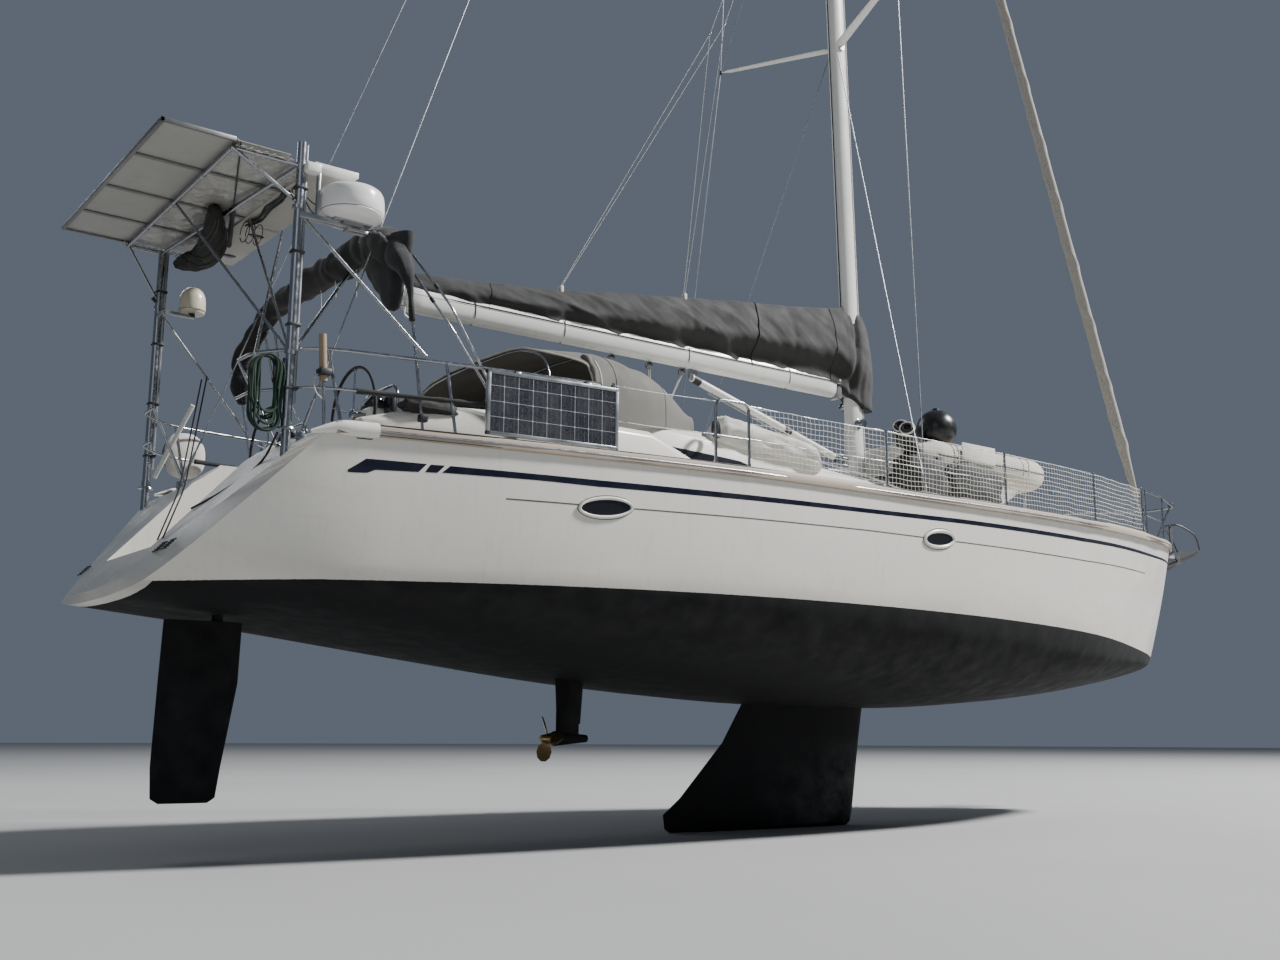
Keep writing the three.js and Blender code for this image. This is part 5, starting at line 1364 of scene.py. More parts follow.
def build_guard_rails():
    tube = steel("rail_tube", 0.22)
    wire = steel("guard_wire", 0.4)
    radius = sizes().rail_tube / 2
    for side, sign in SIDES:
        for length, posts in (("fore", STANCHIONS[3:]), ("aft", STANCHIONS[:4])):
            rails = Piece(f"rails_{length}_{side}")
            for x in posts:
                if length == "aft" and x == -0.65:
                    continue
                foot, top = rail_point(x, sign, -0.03), rail_point(x, sign, RAIL + 0.012)
                if x not in GATE_HOOP:
                    rails.tube([foot, top], radius * 0.92, tube)
                    rails.add(turned(POST_CAP, top - Vector((0, 0, 0.004))), tube)
                rails.add(turned(POST_FOOT, rail_point(x, sign, 0.004)), tube, 25)
                for height in (MIDDLE_WIRE, RAIL - 0.004):
                    if x not in GATE_HOOP:
                        rails.clamp(rail_point(x, sign, height), (1, 0, 0), 0.009, 0.036, black_plastic())
            if length == "aft":
                aft, fore = GATE_HOOP
                corners = ((aft, 0.0), (aft, RAIL + 0.02), (fore, RAIL + 0.02), (fore, 0.0))
                rails.tube([rail_point(x, sign, height) for x, height in corners], radius, tube, 0.09)
                rails.tube([rail_point(x, sign, 0.3) for x in GATE_HOOP], radius * 0.8, tube)
            runs = [(-3.9, -2.82), (-2.44, -0.665)] if length == "aft" else [(-0.65, 4.8)]
            for start, end in runs:
                stops = [x for x in posts if start <= x <= end]
                if end not in stops:
                    stops.append(end)
                for height in (MIDDLE_WIRE, RAIL):
                    line = []
                    for a, b in zip(stops, stops[1:]):
                        line.append(rail_point(a, sign, height))
                        line.append(rail_point((a + b) / 2, sign, height - WIRE_SAG))
                    line.append(rail_point(stops[-1], sign, height))
                    rails.tube(line, 0.0035, wire)
                    for a, toward in ((stops[0], 1), (stops[-1], -1)):
                        near = rail_point(a + 0.03 * toward, sign, height)
                        far = rail_point(a + 0.15 * toward, sign, height)
                        rails.tube([near, far], 0.0065, tube)
            net_from, net_to = (-2.40, -0.67) if length == "aft" else (-0.63, 4.76)
            mesh = sizes().net_mesh
            count = round((net_to - net_from) / mesh)

            def place(u, v, start=net_from, end=net_to):
                x = start + (end - start) * u
                slump = 0.012 * waver((x, v, 0), 0.22, 3.0) + (1 - v) * 0.014 * waver((x, 0, 0), 0.4, 8.0)
                point = rail_point(x + 0.012 * waver((x, v * 2, 3), 0.3), sign, 0.05 + 0.552 * v + slump)
                point.y += sign * (0.006 + 0.014 * waver((x, v * 2, 1), 0.35, 5.0) * sin(pi * v))
                return point

            net = grid(count, 11, place)
            bmesh.ops.wireframe(net, faces=net.faces[:], thickness=0.0045, offset=0.0, use_replace=True,
                use_boundary=True, use_even_offset=False, use_crease=False, crease_weight=0.0,
                use_relative_offset=False)
            rails.add(net, finish("net_twine", (0.72, 0.7, 0.64), 0.8, 0.0, (0.2, 0.1), (0.003, 0.0004),
                0.1), 60)
            rails.done("steel", f"guard_rail_{length}_{side}", sides=2)


LEG_FOOT = ((0, 0), (0.036, 0), (0.034, 0.006), (0.017, 0.013), (0, 0.013))


def rail_leg(rail, foot, head, tube):
    rail.tube([foot, head], 0.0135, tube)
    rail.add(turned(LEG_FOOT, foot + Vector((0, 0, 0.02))), tube)


def build_pulpit():
    rail = Piece("bow_rail")
    tube = steel("rail_tube", 0.22)
    top = [rail_point(4.98, 1, 0.61), rail_point(6.3, 1, 0.68), Vector((7.7, 0.25, 2.4))]
    loop = top + mirrored(reversed(top))
    rail.tube(loop, 0.015, tube, 0.14)
    for _, sign in SIDES:
        legs = ((rail_point(4.98, sign, -0.02), rail_point(4.98, sign, 0.61)),
            (rail_point(6.15, sign, -0.02), rail_point(6.25, sign, 0.672)),
            (Vector((7.04, sign * 0.235, 1.66)), Vector((7.56, sign * 0.265, 2.38))))
        for foot, head in legs:
            rail_leg(rail, foot, head, tube)
        rung = [rail_point(4.98, sign, 0.305), rail_point(6.2, sign, 0.33), Vector((7.33, sign * 0.3, 2.04))]
        rail.tube(rung, 0.011, tube, 0.1)
        rail.box((7.62, sign * 0.235 - 0.03, 2.405), (7.7, sign * 0.235 + 0.03, 2.47), 0.012, black_plastic())
    rail.done("steel", "pulpit")


def build_pushpits():
    tube = steel("rail_tube", 0.22)
    for side, sign in SIDES:
        rail = Piece(f"stern_rail_{side}")
        for height, radius in ((0.61, 0.0145), (0.305, 0.0115)):
            line = [rail_point(-4.02, sign, height), rail_point(-5.4, sign, height),
                Vector((-6.4, sign * 1.69, 1.345 + height)), Vector((-6.76, sign * 1.29, 1.33 + height)),
                Vector((-6.76, sign * 1.0, 1.33 + height))]
            rail.tube(line, radius, tube, 0.22)
        legs = ((rail_point(-4.02, sign, -0.02), rail_point(-4.02, sign, 0.61)),
            (rail_point(-5.3, sign, -0.02), rail_point(-5.4, sign, 0.61)),
            (Vector((-6.18, sign * 1.7, 1.3)), Vector((-6.32, sign * 1.69, 1.955))),
            (Vector((-6.42, sign * 1.04, 1.28)), Vector((-6.76, sign * 1.0, 1.94))))
        for foot, head in legs:
            rail_leg(rail, foot, head, tube)
        # Dark padding laced round the lower rail
        wrap = [Vector(p) for p in (rail_point(-4.3, sign, 0.305), rail_point(-5.3, sign, 0.305),
            (-6.1, sign * 1.74, 1.652))]
        rail.tube(wrap, lambda share: 0.021 + 0.004 * sin(90 * share), black_cloth(), 0.2)
        rail.done("steel", f"pushpit_{side}")


# Gantry
ARRAY_LOW, ARRAY_RISE = 3.53, 0.065
# Place at y -1.69 and slope of the aft edge, the bold bar, the sheet's end and the front edge
ARRAY_LINES = ((-7.7, 0.055), (-7.136, 0.067), (-6.45, 0.05), (-6.105, 0.062))
PANEL_BARS = (-1.69, -0.84, 0.08, 0.91, 1.61)


def array_z(y):
    return ARRAY_LOW + ARRAY_RISE * y


def under_array(line, y, height=0.0):
    """A place on one of the array's lines across the boat."""
    x, slope = ARRAY_LINES[line]
    return Vector((x + slope * (y + 1.69), y, array_z(y) + height))


def build_gantry():
    piece = Piece("gantry_tubes")
    tube = steel("gantry_steel", 0.24)
    bright = anodised()
    black = black_plastic()
    x = POST[0]
    for sign in (-1, 1):
        y = sign * POST[1]
        top = 3.594 if sign < 0 else array_z(y) - 0.008
        piece.tube([(x, y, 1.06), (x + (0.01 if sign < 0 else 0), y, top)], 0.0365, tube)
        piece.tube([(x + 0.044, y, 1.5), (x + 0.048, y, top - 0.012)], 0.017, bright)
        for z in (1.62, 2.12, 2.7, 3.22):
            piece.box((x - 0.04, y - 0.04, z - 0.012), (x + 0.064, y + 0.04, z + 0.012), 0.008, black)
        piece.add(turned([(0, 0), (0.07, 0), (0.066, 0.012), (0.042, 0.02), (0.04, 0.08), (0, 0.08)],
            (x, y, 1.305)), tube)
        end = under_array(1, y, -0.022)
        piece.tube([(x, y, 3.1), end], 0.0145, tube)
        piece.tube([(x, y, 3.03), (-5.56, sign * 1.83, 2.0)], 0.0145, tube)
        piece.tube([end - Vector((0.015, 0, 0)), (x, y, array_z(y) - 0.022)], 0.0195, tube)
        piece.clamp((-6.64, y, 3.135), (-1, 0, 0.9), 0.018, 0.05, black)
        for height in (0.02, 0.11):
            piece.clamp(end + (Vector((x, y, 3.1)) - end) * height, Vector((x, y, 3.1)) - end, 0.02, 0.03,
                tube)
    piece.tube([(x, -1.6, array_z(-1.6) - 0.022), (x, 1.6, array_z(1.6) - 0.022)], 0.0195, tube)
    piece.tube([under_array(1, -1.6, -0.022), under_array(1, 1.6, -0.022)], 0.018, tube)
    for y in (-0.84, 0.08, 0.91):
        here = under_array(1, y, -0.02)
        piece.clamp(here, (0.067, 1, 0.065), 0.023, 0.05, tube)
    for head in ((-7.017, 0, 3.508), (-6.36, 0, 3.514)):
        piece.tube([(x, -1.6, 1.9), head], 0.0118, tube)
    piece.tube([(x, -1.6, 1.88), (-5.6, -0.46, 3.07)], 0.015, tube)
    piece.tube([(-5.996, 0.14, 3.536), (-6.745, -1.3, 1.935)], 0.0125, tube)
    for at in ((x, -1.6, 1.9), (x, -1.6, 3.06), (x, 1.6, 3.06)):
        piece.clamp(at, (0, 0, 1), 0.045, 0.03, tube)
    # Radar bracket and the small aerial's arm
    for low, high, bevel in (((x, -1.645, 2.974), (-6.156, -1.595, 3.024), 0.006),
            ((-6.316, -1.68, 3.02), (-5.996, -1.56, 3.034), 0.003),
            ((-6.452, -1.64, 3.0), (-6.43, -1.6, array_z(-1.62)), 0.004),
            ((-6.2, -1.66, 2.955), (-6.02, -1.58, 2.98), 0.006),
            ((x, 1.41, 2.962), (-6.3, 1.45, 2.998), 0.006),
            ((-6.615, 1.43, 2.962), (-6.565, 1.6, 2.998), 0.006)):
        piece.box(low, high, bevel, bright)
    piece.box((-6.57, -1.7, 3.345), (-6.45, -1.595, 3.42), 0.012, gelcoat())
    piece.add(turned([(0, 0), (0.03, 0), (0.03, 0.03), (0, 0.03)], (-6.33, 1.43, 2.98)), black)
    for end, sag in (((-6.2, -1.5, 3.38), 0.16), ((-6.16, -1.3, 3.42), 0.22), ((-6.4, -1.0, 3.46), 0.1)):
        line = [Vector((-6.56, -1.56, 3.24)).lerp(Vector(end), k / 10) for k in range(11)]
        line = [p - Vector((0, 0, sag * sin(pi * k / 10))) for k, p in enumerate(line)]
        piece.tube(line, 0.0045, dark_line())
    piece.done("steel", "gantry")


def build_solar_array():
    array = Piece("array_panels")
    # The panels' white back sheets are given a mid grey as painted shade on the array's underside
    back = finish("panel_back", (0.36, 0.355, 0.33), 0.42, 0.0, (0.5, 0.05), (0.02, 0.0001), 0.12,
        streak=0.08)
    edge = finish("panel_edge", (0.2, 0.2, 0.195), 0.45, 0.7, (0.3, 0.12), (0.003, 0.0001), 0.2)
    white = gelcoat()
    pale = finish("array_panel_white", (0.5, 0.49, 0.45), 0.5, 0.0, (0.3, 0.1), (0.01, 0.0002), 0.15,
        streak=0.1)

    def plate(first, last, y0, y1, low, high, material, bevel=0.002, shift=(0.0, 0.0)):
        """A flat piece between two of the array's lines."""
        corners = [under_array(first, y0, low), under_array(last, y0, low), under_array(last, y1, low),
            under_array(first, y1, low)]
        for k, move in enumerate((shift[0], shift[1], shift[1], shift[0])):
            corners[k].x += move
        array.add(slab(corners, (0, 0, high - low), bevel), material)

    for y0, y1 in zip(PANEL_BARS, PANEL_BARS[1:]):
        plate(0, 1, y0 + 0.01, y1 - 0.01, 0.018, 0.026, back, 0.0, (0.01, 0.02))

        def cells(u, v, y0=y0, y1=y1):
            y = y0 + 0.03 + (y1 - y0 - 0.06) * v
            near, far = under_array(0, y, 0.033), under_array(1, y, 0.033)
            return near.lerp(far, 0.03 + 0.95 * u)

        array.add(walled(grid(2, 2, cells, (0.53, y1 - y0 - 0.06)), 0.006), cell_finish())
    plate(0, 0, -1.69, 1.61, 0.0, 0.036, edge, 0.003, (0.0, 0.03))
    plate(0, 1, -1.69, -1.664, 0.0, 0.036, edge, 0.003)
    plate(0, 1, 1.584, 1.61, 0.0, 0.036, edge, 0.003)
    plate(1, 1, -1.66, 1.6, 0.004, 0.03, edge, 0.003, (0.0, 0.03))
    for y in PANEL_BARS[1:-1]:
        plate(0, 2, y - 0.026, y + 0.026, 0.004, 0.018, edge, 0.003, (0.03, 0.25))
    sheet = finish("array_sheet", (0.4, 0.395, 0.37), 0.3, 0.15, (0.2, 0.12), (0.03, 0.0016), 0.2,
        creases=0.012)

    def crinkled(u, v):
        y = -1.5 + 3.09 * v
        near, far = under_array(1, y, 0.02), under_array(2, y, 0.02)
        spot = near.lerp(far, u)
        spot.z += 0.008 * waver((spot.x * 1.6, spot.y, 0.0), 0.09, 3.0) * sin(pi * u) ** 0.5
        return spot

    array.add(walled(grid(36, 120, crinkled, (0.7, 3.1)), 0.003), sheet, 80)
    plate(1, 1, -1.67, -1.5, 0.016, 0.022, sheet, 0.0, (0.0, 0.44))
    # White panel forward, cut round the post's head, with two oval lamps
    plate(2, 3, -1.5, 1.6, 0.0, 0.036, pale, 0.006, (-0.02, 0.0))
    plate(3, 3, -1.615, -1.48, -0.006, 0.042, white, 0.006, (-0.37, 0.0))
    plate(2, 3, 0.2, 0.245, -0.004, 0.002, back, 0.001, (0.12, -0.02))
    lamp = Matrix.Diagonal((1.0, 0.62, 1.0, 1.0))
    for x, y in ((-6.05, 0.47), (-6.005, 1.27)):
        shape = turned([(0, -0.018), (0.05, -0.016), (0.07, -0.008), (0.075, 0.004), (0, 0.004)], steps=32)
        bmesh.ops.transform(shape, matrix=Matrix.Translation((x - 0.06, y, array_z(y))) @ lamp,
            verts=shape.verts)
        array.add(shape, smoked_acrylic())
    lace = white_line()
    for ends, y_in, y_out, count in (((-7.13, -6.7), -1.6, -1.685, 15), ((-7.0, -6.3), 1.53, 1.605, 25)):
        points = []
        for k in range(count):
            x = ends[0] + (ends[1] - ends[0]) * k / (count - 1)
            y = (y_in if k % 2 else y_out) + 0.012 * waver((k, 0, 0), 1.3, 2.0)
            points.append(Vector((x, y, array_z(y) + (-0.004 if k % 2 else -0.02) - 0.012 * (k % 3 == 0))))
        array.tube(points, 0.0055, lace)
        array.tube([p + Vector((0.02, 0.004, -0.004)) for p in reversed(points)], 0.0035, lace)
    array.done("solar_cell", "solar_array", sides=2)
    # Dark strap, netted bag and a bundle of cables slung under the array
    slung = Piece("slung_bag")
    dark = black_cloth()
    a, b = Vector((-7.09, -1.66, 3.418)), Vector((-6.2, 0.906, 3.576))
    slung.tube([a.lerp(b, k / 20) for k in range(21)],
        lambda s: 0.007 if s < 0.58 else 0.021 + 0.003 * sin(70 * s), dark)
    line = [(-6.73, -0.14, 3.49), (-6.62, 0.12, 3.43), (-6.5, 0.5, 3.4), (-6.42, 0.85, 3.42),
        (-6.42, 1.25, 3.47), (-6.46, 1.56, 3.52)]
    route = Route(line, 0.2, (0, 0, 1))

    def bulge(u, v):
        lump = 0.22 * waver((cos(tau * u), sin(tau * u), v * 9), 0.8, 3.0)
        return (0.045 + 0.075 * sin(pi * min(1.0, v)) ** 0.8) * (1 + lump)

    net_bag = finish("netted_bag", (0.018, 0.018, 0.017), 0.8, 0.0, (0.02, 0.6), (0.012, 0.003), creases=0.02)
    slung.add(pipe(route, 24, 60, bulge), net_bag, 70)
    pale_twine = rope("bag_twine", (0.14, 0.14, 0.13))
    for k in range(7):
        turn = [route.at(j / 40) for j in range(2, 40)]
        points = []
        for j, (here, side, up) in enumerate(turn):
            angle = tau * (k / 7 + j / 38 * 0.8)
            reach = bulge(angle / tau, (j + 2) / 40) + 0.003
            points.append(here + (side * cos(angle) + up * sin(angle)) * reach)
        slung.tube(points, 0.003, pale_twine)
        slung.tube([p - (p - q[0]) * 2 if k % 2 else p for p, q in zip(points, turn)], 0.003, pale_twine)
    bundle = [(-6.42, -0.95, 3.455), (-6.39, -0.76, 3.46), (-6.35, -0.4, 3.485), (-6.32, -0.15, 3.49),
        (-6.31, 0.16, 3.53)]
    for k in range(5):
        offset = Vector((0.014 * cos(k * 1.3), 0.0, 0.012 * sin(k * 1.3)))
        points = [Vector(p) + offset * (1.6 + sin(3 * j + k)) for j, p in enumerate(bundle)]
        slung.tube(points, 0.009, dark, 0.05)
    for shift in (0.0, 0.07, -0.05):
        loop = [Vector((-6.31 + shift, 0.1 + 0.11 * cos(t / 3), 3.43 + 0.09 * sin(t / 3))) for t in range(19)]
        slung.tube(loop, 0.004, dark_line())
    slung.done("canvas_black", sides=2)


def build_domes():
    # The radome's white is toned down to a light grey as painted shade on its under-lit side
    white = finish("dome_white", (0.56, 0.56, 0.55), 0.3, 0.0, (0.3, 0.04), (0.01, 0.00005), 0.05, coat=0.3,
        streak=0.1)
    grey = finish("dome_base", (0.2, 0.2, 0.2), 0.5, 0.0, (0.2, 0.1), (0.003, 0.0001), 0.1)
    radar = Piece("radar_scanner")
    at = (-6.156, -1.62, 3.034)
    base = [(0, 0), (0.19, 0), (0.205, 0.008), (0.243, 0.036), (0.252, 0.05), (0.25, 0.056), (0, 0.056)]
    radar.add(turned(base, at, steps=64), white)
    radar.add(turned([(0, 0.052), (0.2485, 0.054), (0.2485, 0.064), (0, 0.066)], at, steps=64), grey)
    rows = [(0, 0.062), (0.252, 0.062), (0.259, 0.078), (0.26, 0.12), (0.257, 0.175), (0.25, 0.214),
        (0.236, 0.241), (0.212, 0.26), (0.17, 0.272), (0.09, 0.28), (0, 0.282)]
    radar.add(turned(rows, at, steps=64), white, 40)
    radar.box((-6.24, -1.68, 2.998), (-6.07, -1.6, 3.03), 0.008, grey)
    radar.done("dome_white", "radar_dome")
    dome = Piece("small_aerial")
    at = (-6.33, 1.43, 3.01)
    cream = finish("dome_cream", (0.6, 0.55, 0.43), 0.35, 0.0, (0.2, 0.06), (0.01, 0.00005), 0.1, coat=0.3)
    rows = [(0, 0), (0.112, 0), (0.122, 0.02), (0.125, 0.04), (0.122, 0.13), (0.114, 0.175), (0.095, 0.215),
        (0.062, 0.246), (0.03, 0.26), (0, 0.264)]
    dome.add(turned(rows, at, steps=48), cream, 50)
    dome.add(ring((-6.33, 1.43, 3.035), 0.1245, 0.003, steps=48), grey)
    dome.done("dome_white", "small_dome")


BIMINI = ((-5.648, 1.755, 2.28), (-5.72, 1.78, 2.7), (-5.62, 1.15, 3.17))


def build_bimini():
    hoops = Piece("bimini_hoops")
    tube = steel("rail_tube", 0.22)
    side = [(-5.5, 1.705, 1.25), (-5.5, 1.705, 1.42), (-5.72, 1.78, 2.7), (-5.62, 1.15, 3.17)]
    hoops.tube(mirrored(side) + side[::-1], 0.0125, tube, 0.26)
    for sign in (-1, 1):
        hoops.box((-5.54, sign * 1.705 - 0.03, 1.5), (-5.47, sign * 1.705 + 0.03, 1.56), 0.01,
            black_plastic())
        # Folded legs of the frame, two pairs that lean forward to the coaming
        for top, mid in (((-5.6, 1.42, 2.95), (-5.29, 1.74, 2.31)), ((-5.5, 1.42, 2.98), (-5.27, 1.7, 2.5))):
            line = [Vector((p[0], sign * p[1], p[2])) for p in (top, mid, (-4.62, 1.72, 1.46))]
            hoops.tube(line, 0.011, tube, 0.1)
            hoops.clamp(line[0].lerp(line[1], 0.62), line[1] - line[0], 0.016, 0.05, black_plastic())
        hoops.box((-4.66, sign * 1.72 - 0.025, 1.4), (-4.58, sign * 1.72 + 0.025, 1.48), 0.01, steel())
    hoops.done("steel", "bimini_hoop")
    roll = Piece("rolled_canopy")
    side = [Vector(p) for p in BIMINI]
    loop = mirrored(side) + list(reversed(side))
    route = Route(loop, 0.3, (1, 0, 0))
    straps = [0.04, 0.17, 0.45, 0.62, 0.8, 0.93]

    def radius(u, v):
        pinch = sum(exp(-((v - s) / 0.008) ** 2) for s in straps)
        lump = 0.26 * waver((cos(tau * u) * 0.6, sin(tau * u) * 0.6, v * 26), 0.9, 4.0)
        fold = 0.12 * waver((u * 9, v * 8, 1.0), 0.8, 6.0)
        end = min(1.0, 0.4 + 14 * (1 - v)) * between(((0.0, 0.26), (0.06, 0.3), (0.11, 0.7), (0.16, 1.0),
            (1.0, 1.0)), v)[1]
        swell = 1.15 + 0.62 * exp(-((v - 0.24) / 0.09) ** 2) + 0.4 * exp(-((v - 0.45) / 0.16) ** 2)
        return 0.086 * swell * (1 + lump + fold - 0.2 * pinch) * end

    roll.add(pipe(route, 40, 280, radius), black_cloth(), 70)

    def flap(u, v):
        """The loose tongue that hangs from the roll, narrower and thinner towards its end."""
        angle = tau * u
        wide = between(((0.0, 0.85), (0.3, 0.74), (0.52, 0.56), (0.78, 0.3), (1.0, 0.09)), v)[1]
        thick = 0.12 - 0.08 * v
        if v in (0, 1):
            wide, thick = wide * 0.02, thick * 0.02
        y = -1.2 - 0.18 * v + wide * 0.5 * eased(cos(angle), 0.7)
        x = -5.63 + thick * sin(angle) + 0.03 * waver((y * 2, v, 0), 0.2, 3.0) * sin(pi * v)
        return Vector((x, y, 3.12 - 0.65 * v))

    roll.add(grid(28, 24, flap, (0.7, 0.7), closed=True), black_cloth(), 70)
    made = roll.done("canvas_black", "rolled_bimini")
    webbing = Piece("canopy_straps")
    grey = canvas("grey_piping", (0.2, 0.2, 0.2), 0.001)
    thin = canvas("canopy_webbing", (0.05, 0.05, 0.05), 0.001)
    for share in straps:
        here, across, up = route.at(share)
        webbing.add(ring(here, radius(0.1, share) * 1.06, 0.0035, across.cross(up), 28, 6), thin)
    piping = []
    for k in range(24):
        v = 0.17 + 0.125 * k / 23
        here, across, up = route.at(v)
        angle = atan2((Vector((-0.6, -0.75, -0.1))).dot(up), (Vector((-0.6, -0.75, -0.1))).dot(across))
        reach = radius(angle / tau % 1.0, v) + 0.004
        piping.append(here + (across * cos(angle) + up * sin(angle)) * reach)
    webbing.tube(piping, 0.011, grey)
    hook = [(-5.5, -1.3, 2.86), (-5.49, -1.31, 2.7), (-5.5, -1.28, 2.62), (-5.5, -1.23, 2.6),
        (-5.5, -1.2, 2.64)]
    webbing.tube(hook, 0.0045, white_line(), 0.04)
    for y, z, drop_by in ((-0.62, 3.07, 0.28), (0.1, 3.07, 0.22), (-0.2, 3.06, 0.16)):
        line = [(-5.62, y, z), (-5.6, y + 0.02, z - drop_by * 0.6), (-5.61, y - 0.01, z - drop_by)]
        webbing.tube(line, 0.0035, white_line(), 0.05)
    webbing.done("canvas_black")


# Rows of x, half width, foot and top of the sprayhood
HOOD = ((-4.08, 1.35, 1.77, 2.6), (-3.5, 1.345, 1.772, 2.68), (-2.9, 1.26, 1.9, 2.64),
    (-2.5, 1.12, 1.965, 2.5), (-2.08, 0.94, 2.04, 2.262))


def hood_spot(x, share, lift=0.0):
    """A place on the sprayhood, around it from port (0) to starboard (1)."""
    _, half, foot, top = smooth_between(HOOD, x)
    angle = pi * share
    c, s = cos(angle), max(0.0, sin(angle))
    y = half * eased(c, 0.62)
    z = foot + (top - foot) * s**0.42
    hoop = max(exp(-((x - bow) / 0.14) ** 2) for bow in (-4.07, -3.3, -2.6))
    sag = (1 - hoop) * 0.018 * s
    crease = (0.009 * waver((x, y, z), 0.16, 2.0) + 0.012 * waver((x * 1.5 + z, y, 0), 0.3, 6.0)) * min(1.0,
        s * 3)
    out = Vector((0, y / (half * half), (z - foot + 0.3) / (top - foot + 0.3) ** 2)).normalized()
    return Vector((x, y, z)) + out * (lift - sag + crease)


def build_sprayhood():
    hood = Piece("sprayhood_cloth")

    def place(u, v):
        # The sides are rolled forward to a strip, the crown reaches aft
        side = abs(2 * u - 1)
        back = 0.52 * between(((0.0, 0.0), (0.45, 0.05), (0.72, 0.9), (1.0, 1.0)), side)[1]
        return hood_spot(-4.08 + back + (2.0 - back) * v, u, 0.004)

    hood.add(walled(grid(96, 64, place, (3.9, 2.05)), 0.004), hood_cloth(), 60)
    for _, sign in SIDES:
        strip = []
        for k in range(13):
            spot = hood_spot(-3.56, 0.02 + 0.2 * k / 12, 0.0)
            strip.append(Vector((spot.x, sign * abs(spot.y), spot.z)))
        hood.tube(strip, lambda s: 0.036 + 0.01 * sin(17 * s), hood_cloth())
        hood.tube([p + Vector((0.05, sign * 0.03, 0)) for p in strip[1:-3]], 0.009, white_cloth())
    panels = ((-2.5, -2.12, 0.2, 0.48), (-2.5, -2.12, 0.52, 0.8))
    binding = canvas("hood_binding", (0.5, 0.48, 0.43), 0.001)
    for low, high, start, end in panels:
        def pane(u, v, low=low, high=high, start=start, end=end):
            return hood_spot(low + (high - low) * v, start + (end - start) * u, 0.008)

        hood.add(walled(grid(18, 22, pane), 0.002), clear_vinyl(), 60)
        corners = ((low, start), (high, start), (high, end), (low, end), (low, start))
        border = []
        for (x, share), (next_x, next_share), count in zip(corners, corners[1:], (14, 10, 14, 10)):
            for k in range(count):
                here = hood_spot(x + (next_x - x) * k / count, share + (next_share - share) * k / count,
                    0.009)
                border.append(here)
        hood.tube(border, 0.006, binding, closed=True)
    hood.tube([place(k / 60, 0.0) for k in range(61)], 0.009, binding)
    hood.tube([hood_spot(-2.085, k / 40, 0.004) for k in range(41)], 0.007, binding)
    for x in (-3.3, -2.6):
        hood.tube([hood_spot(x, k / 40, 0.005) for k in range(41)], 0.005, hood_cloth())
    made = hood.done("canvas_taupe", "sprayhood")
    bows = Piece("sprayhood_bows")
    for x in (-4.05, -3.3, -2.6):
        bows.tube([hood_spot(x, 0.02 + 0.96 * k / 30, -0.018) for k in range(31)], 0.011,
            steel("rail_tube", 0.22))
    bows.done("steel")


def build_side_panel():
    panel = Piece("side_panel_frame")
    edge = anodised()
    y_at = {x: -(between(SHEER, x)[1] - 0.07) - 0.053 for x in (-5.08, -3.88)}

    def hung(x, out, z):
        share = (x + 5.08) / 1.2
        return Vector((x, y_at[-5.08] + (y_at[-3.88] - y_at[-5.08]) * share + out, z))

    def bar(x0, x1, z0, z1, out0, out1):
        outline = [hung(x0, out0, z0), hung(x1, out0, z0), hung(x1, out0, z1), hung(x0, out0, z1)]
        return slab(outline, (0, out1 - out0, 0), 0.002)

    x0, x1, z0, z1 = -5.08, -3.88, 1.42, 1.95
    for a, b, c, d in ((x0, x1, z0, z0 + 0.028), (x0, x1, z1 - 0.028, z1), (x0, x0 + 0.028, z0, z1),
            (x1 - 0.028, x1, z0, z1)):
        panel.add(bar(a, b, c, d, 0.0, 0.034), edge)

    def cells(u, v):
        return hung(x0 + 0.02 + (x1 - x0 - 0.04) * u, 0.004, z0 + 0.02 + (z1 - z0 - 0.04) * v)

    panel.add(walled(grid(2, 2, cells, (x1 - x0 - 0.04, z1 - z0 - 0.04)), 0.004), cell_finish())
    for x in (-4.8, -4.15):
        top = hung(x, 0.045, 1.96)
        panel.clamp(top, (1, 0, 0), 0.019, 0.04, black_plastic())
        panel.box(hung(x, 0.01, 1.93) - Vector((0.02, 0, 0)), hung(x, 0.05, 1.965) + Vector((0.02, 0, 0)),
            0.004, edge)
    panel.done("solar_cell", "side_solar_panel")


# Stern gear
def oblong(share, half_x, half_z):
    """A place on a loop with straight sides and round ends, downwards from the middle of its right side."""
    straight = half_z - half_x
    quarter = straight + pi * half_x / 2
    part, along = divmod((share % 1.0) * 4 * quarter, quarter)
    along = quarter - along if part in (1, 3) else along
    bend = max(0.0, along - straight) / half_x
    x = half_x * cos(bend) * (1 if part in (0, 3) else -1)
    z = (min(along, straight) + half_x * sin(bend)) * (-1 if part in (0, 1) else 1)
    return x, z


